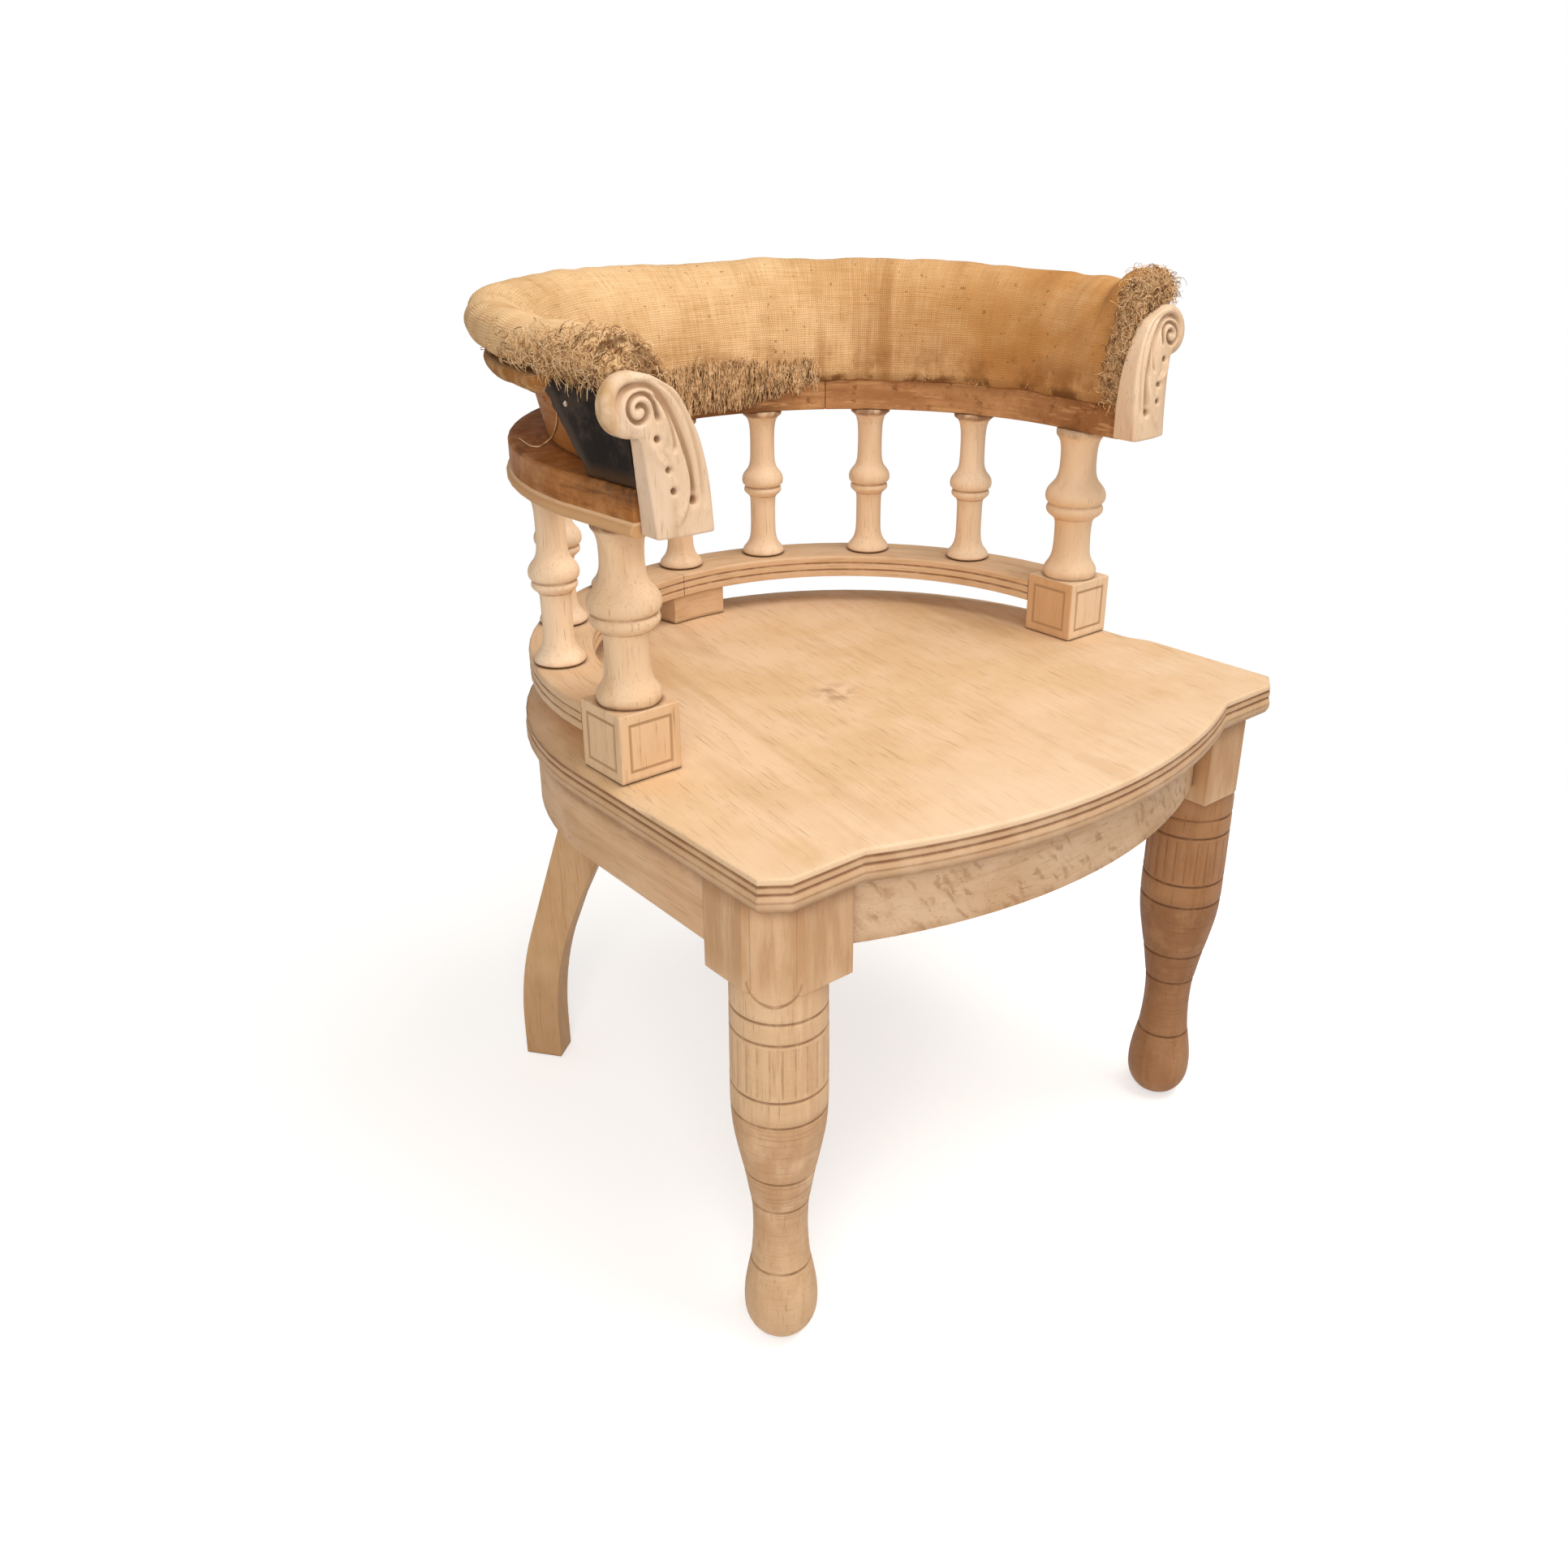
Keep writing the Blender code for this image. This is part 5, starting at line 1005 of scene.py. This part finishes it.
# The crease under the top bulge is a painted shade line.
crease = times(stripe(round_way, (0.1380,), 0.0095), ease(tone, 0.3, 0.6, 0.75, 1.0))
grubby = ease(specks(spot, 75.0, 4.0, 0.65), 0.36, 0.58, 0.45, 1.0)
fold = times(ease(round_way, 0.1345, 0.1290), grubby, 0.92)
runs = ease(specks(stretch(spot, (30, 1, 5)), 1.0, 3.0, 0.6), 0.52, 0.70, 0.0, 0.55)
patch = ease(specks(spot, 24.0, 5.0, 0.65), 0.40, 0.62)
low_stain = times(ease(z, 0.712, 0.682, 0.0, 0.72), patch)
hem = times(ease(z, 0.6800, 0.6715, 0.0, 0.85), ease(patch, 0.0, 0.7, 0.4, 1.0))
flyspecks = ease(specks(spot, 210.0, 1.0), 0.70, 0.76, 0.0, 0.6)
gaps = ease(weave, 0.42, 0.12, 0.0, 0.40)
# Hollows of the cover get painted shade from occlusion.
tucked = add(tree, "AmbientOcclusion", {"Distance": 0.012}, samples=8).outputs["AO"]
for mask, tint in (
    (raised, (0.90, 0.66, 0.40)), (sunk, (0.42, 0.21, 0.075)), (damp_stain_and_painted_shade, (0.49, 0.205, 0.044)),
    (crease, (0.085, 0.032, 0.010)), (fold, (0.37, 0.140, 0.028)),
    (times(runs, ease(run, 0.02, 0.22)), (0.36, 0.155, 0.042)), (low_stain, (0.30, 0.125, 0.036)),
    (hem, (0.135, 0.055, 0.018)), (flyspecks, (0.20, 0.09, 0.03)), (gaps, (0.32, 0.155, 0.05)),
    (ease(tucked, 0.62, 0.25, 0.0, 0.75), (0.12, 0.045, 0.015)),
):
    colour = blend(mask, colour, tint)
tangle = specks(plain_spot, 230.0, 4.0, 0.7, 1.5)
hairy = blend(ease(tangle, 0.38, 0.58), (0.24, 0.105, 0.036), (0.90, 0.60, 0.31))
dark_end = ease(run, -0.10, 0.05)
hairy = blend(times(dark_end, 0.30), hairy, (0.13, 0.058, 0.022))
# Where the roll's front end sits back under its fringe above the left console, a patchy painted shadow arch
# darkens the worn hair.
hub = gap(plain_spot, (-0.276, roll_front, 0.7455))
front_end = times(ease(y, -0.0880, -0.0915), ease(x, 0.0, -0.01))
wild = sums("ADD", hub, times(sums("SUBTRACT", specks(plain_spot, 75.0, 4.0, 0.6), 0.5), 0.020))
inner_half = times(ease(wild, 0.0310, 0.0250), ease(x, -0.280, -0.266, 0.0, 0.8))
painted_shadow_arch = times(sums("MAXIMUM", inner_half, stripe(wild, (0.0270,), 0.0050)), front_end)
hairy = blend(times(painted_shadow_arch, 0.78), hairy, (0.135, 0.054, 0.019))
relief = sums("ADD", weave, times(tangle, worn_through, 5.0))
feed(shader_of(hessian), {
    "Base Color": blend(worn_through, colour, hairy), "Roughness": 0.95, "Specular IOR Level": 0.12,
    "Normal": bumps(relief, 0.55, 0.0008),
})
crest = put("crest_roll", maker, hessian, "hessian", "hessian_roll")
rounded(crest)

# The fray: loose hessian threads and curled horsehair that stand out where the cover is worn through.
# Each is a thin bent strand rooted in the roll, and all of a kind are one piece: straw, brown or dark hair.
# Every face of the roll seeds its own strands by its place before the swelling, so all runs are alike.
chance = random.Random()


def strand_paint(name, light, dark_tone):
    made = fresh_paint(name)
    spot = where(made)
    share = ease(specks(spot, 260.0, 3.0, 0.6), 0.36, 0.64)
    feed(shader_of(made), {
        "Base Color": blend(share, dark_tone, light), "Roughness": 0.8, "Specular IOR Level": 0.25,
        "Normal": bumps(specks(spot, 2500.0, 2.0), 0.3, 0.0002),
    })
    return made


def any_way():
    return Vector((chance.uniform(-1, 1), chance.uniform(-1, 1), chance.uniform(-1, 1)))


def spread(curve, root, out, length, lift, curl, droop):
    side = out.cross(any_way()).normalized()
    across = out.cross(side)
    strand = curve.splines.new("POLY")
    strand.points.add(5)
    twist = chance.uniform(-curl, curl)
    for number, point in enumerate(strand.points):
        share = number / 5
        angle = twist * share
        flat = side * share
        if abs(twist) > 0.2:
            flat = (side * sin(angle) + across * (1 - cos(angle))) / abs(twist)
        here = root + flat * length + out * (lift * sin(share * 2.4) - 0.0004)
        here.z -= droop * share * share
        point.co = (*here, 1)
        point.radius = 1.0 - 0.55 * share


def strands(name, thickness):
    curve = bpy.data.curves.new(name, "CURVE")
    curve.dimensions = "3D"
    curve.bevel_depth = thickness
    curve.bevel_resolution = 0
    return curve


def woven_piece(curve, finish):
    holder = show(curve.name, curve)
    graph = bpy.context.evaluated_depsgraph_get()
    mesh = bpy.data.meshes.new_from_object(holder.evaluated_get(graph))
    bpy.data.objects.remove(holder, do_unlink=True)
    maker = bmesh.new()
    maker.from_mesh(mesh)
    put(curve.name, maker, finish, "hessian")


straw = strands("loose_straw_threads", 0.00036)
hair = strands("loose_horsehair", 0.00026)
brown_hair = strands("loose_brown_hair", 0.00030)


def one_of(root, dark_share, brown_share):
    pick = chance.random() - 0.90 * noise.noise(root * 160)
    return hair if pick < dark_share else brown_hair if pick < dark_share + brown_share else straw


thin_fray, band_fray, thick_fray = 70000, 150000, 190000
fringe_count, scatter = 1000, 0.0030
patches = zip(roll_form.polygons, roll_spots, roll_bare, roll_girth)
for patch, (spot, out), share, along in sorted(patches, key=lambda row: row[0].center[:]):
    place = patch.center
    chance.seed(f"{place.x:.4f} {place.y:.4f} {place.z:.4f}")
    left_end = patch.normal.y < -0.92 and place.y < -0.0915 and place.x < 0
    left_band = place.x < 0 and place.z > 0.72
    per_area = thin_fray if left_end else band_fray if left_band else thick_fray
    dense = per_area * patch.area * share
    count = int(dense) + (1 if chance.random() < dense - int(dense) else 0)
    for _ in range(count):
        jitter = any_way() * scatter
        root = spot + jitter - out * jitter.dot(out)
        if left_end:
            dark, brown = 0.15, 0.48
            lengths, lifts, curl, fall = (0.003, 0.008), (0.0006, 0.0012), 3.4, 0.0010
        elif left_band:
            dark, brown = 0.09 * ramp(0.778 - place.z, 0.0, 0.022), 0.36
            lengths, lifts, curl, fall = (0.004, 0.012), (0.0008, 0.0042), 3.4, 0.0014
        elif place.x > 0.15 and place.z > 0.745:
            dark, brown = 0.10, 0.36
            lengths, lifts, curl, fall = (0.005, 0.014), (0.0016, 0.0055), 5.0, 0.0020
        elif place.x > 0.15:
            dark, brown = 0.20, 0.36
            lengths, lifts, curl, fall = (0.005, 0.011), (0.0010, 0.0045), 5.0, 0.0015
        else:
            dark, brown = 0.22, 0.36
            lengths, lifts, curl, fall = (0.005, 0.013), (0.0012, 0.0045), 2.4, chance.uniform(0.004, 0.020)
        kind = one_of(place + jitter, dark, brown)
        spread(kind, root, out, chance.uniform(*lengths), chance.uniform(*lifts), curl, fall)
    if share < 0.2 and along > wound - 0.020 and chance.random() < 0.10:
        spread(one_of(place, 0.1, 0.5), spot, out, chance.uniform(0.003, 0.009), 0.0012, 2.0, 0.003)
    if place.x < 0 and place.y < -0.020 and 0.128 < along < 0.150:
        for _ in range(3):
            fall = chance.uniform(0.002, 0.008)
            kind = one_of(place, 0.05, 0.35)
            spread(kind, spot, out, chance.uniform(0.004, 0.010), chance.uniform(0.001, 0.004), 2.4, fall)
chance.seed(11)
for _ in range(fringe_count):
    run = chance.uniform(-0.035, 0.150)
    top = chance.uniform(0.668, 0.692)
    low = 0.645 + 0.016 * ramp(run, 0.05, 0.15) + 0.012 * ramp(run, 0.0, -0.035)
    low += 0.006 * noise.noise((run * 90, 4, 2)) + 0.020 * chance.random() ** 2
    kind = one_of(Vector((run, 0.2, 0.5 * top)), 0.42 if top < 0.681 else 0.10, 0.16)
    fringe = kind.splines.new("POLY")
    fringe.points.add(6)
    sway, phase = chance.uniform(0.0008, 0.0036), chance.uniform(0, 6)
    for number, point in enumerate(fringe.points):
        fallen = number / 6
        turn = (run + sway * sin(phase + 5 * fallen)) / ring_reach
        reach = 0.2374 - 0.0014 * abs(sin(phase + 4 * fallen)) - 0.0012 * chance.random()
        point.co = (reach * sin(turn), reach * cos(turn) + ring_middle, top + (low - top) * fallen, 1)
        point.radius = 1.0 - 0.45 * fallen
hung = flowing([
    (-0.2623, 0.0157, 0.7256), (-0.2595, 0.0236, 0.7175), (-0.2568, 0.0314, 0.7105),
    (-0.2525, 0.0402, 0.6989), (-0.2481, 0.0510, 0.6903), (-0.2404, 0.0702, 0.6805),
    (-0.2430, 0.0770, 0.6751), (-0.2525, 0.0683, 0.6751), (-0.2568, 0.0719, 0.6751),
    (-0.2543, 0.0859, 0.6751), (-0.2487, 0.1057, 0.6751),
])[::6]
thread = straw.splines.new("POLY")
thread.points.add(len(hung) - 1)
for point, here in zip(thread.points, hung):
    point.co = (*here, 1)
    point.radius = 1.7
woven_piece(straw, strand_paint("straw", (0.92, 0.67, 0.40), (0.70, 0.43, 0.20)))
woven_piece(brown_hair, strand_paint("brown_hair", (0.62, 0.34, 0.14), (0.33, 0.155, 0.056)))
woven_piece(hair, strand_paint("horsehair", (0.20, 0.088, 0.034), (0.060, 0.024, 0.010)))
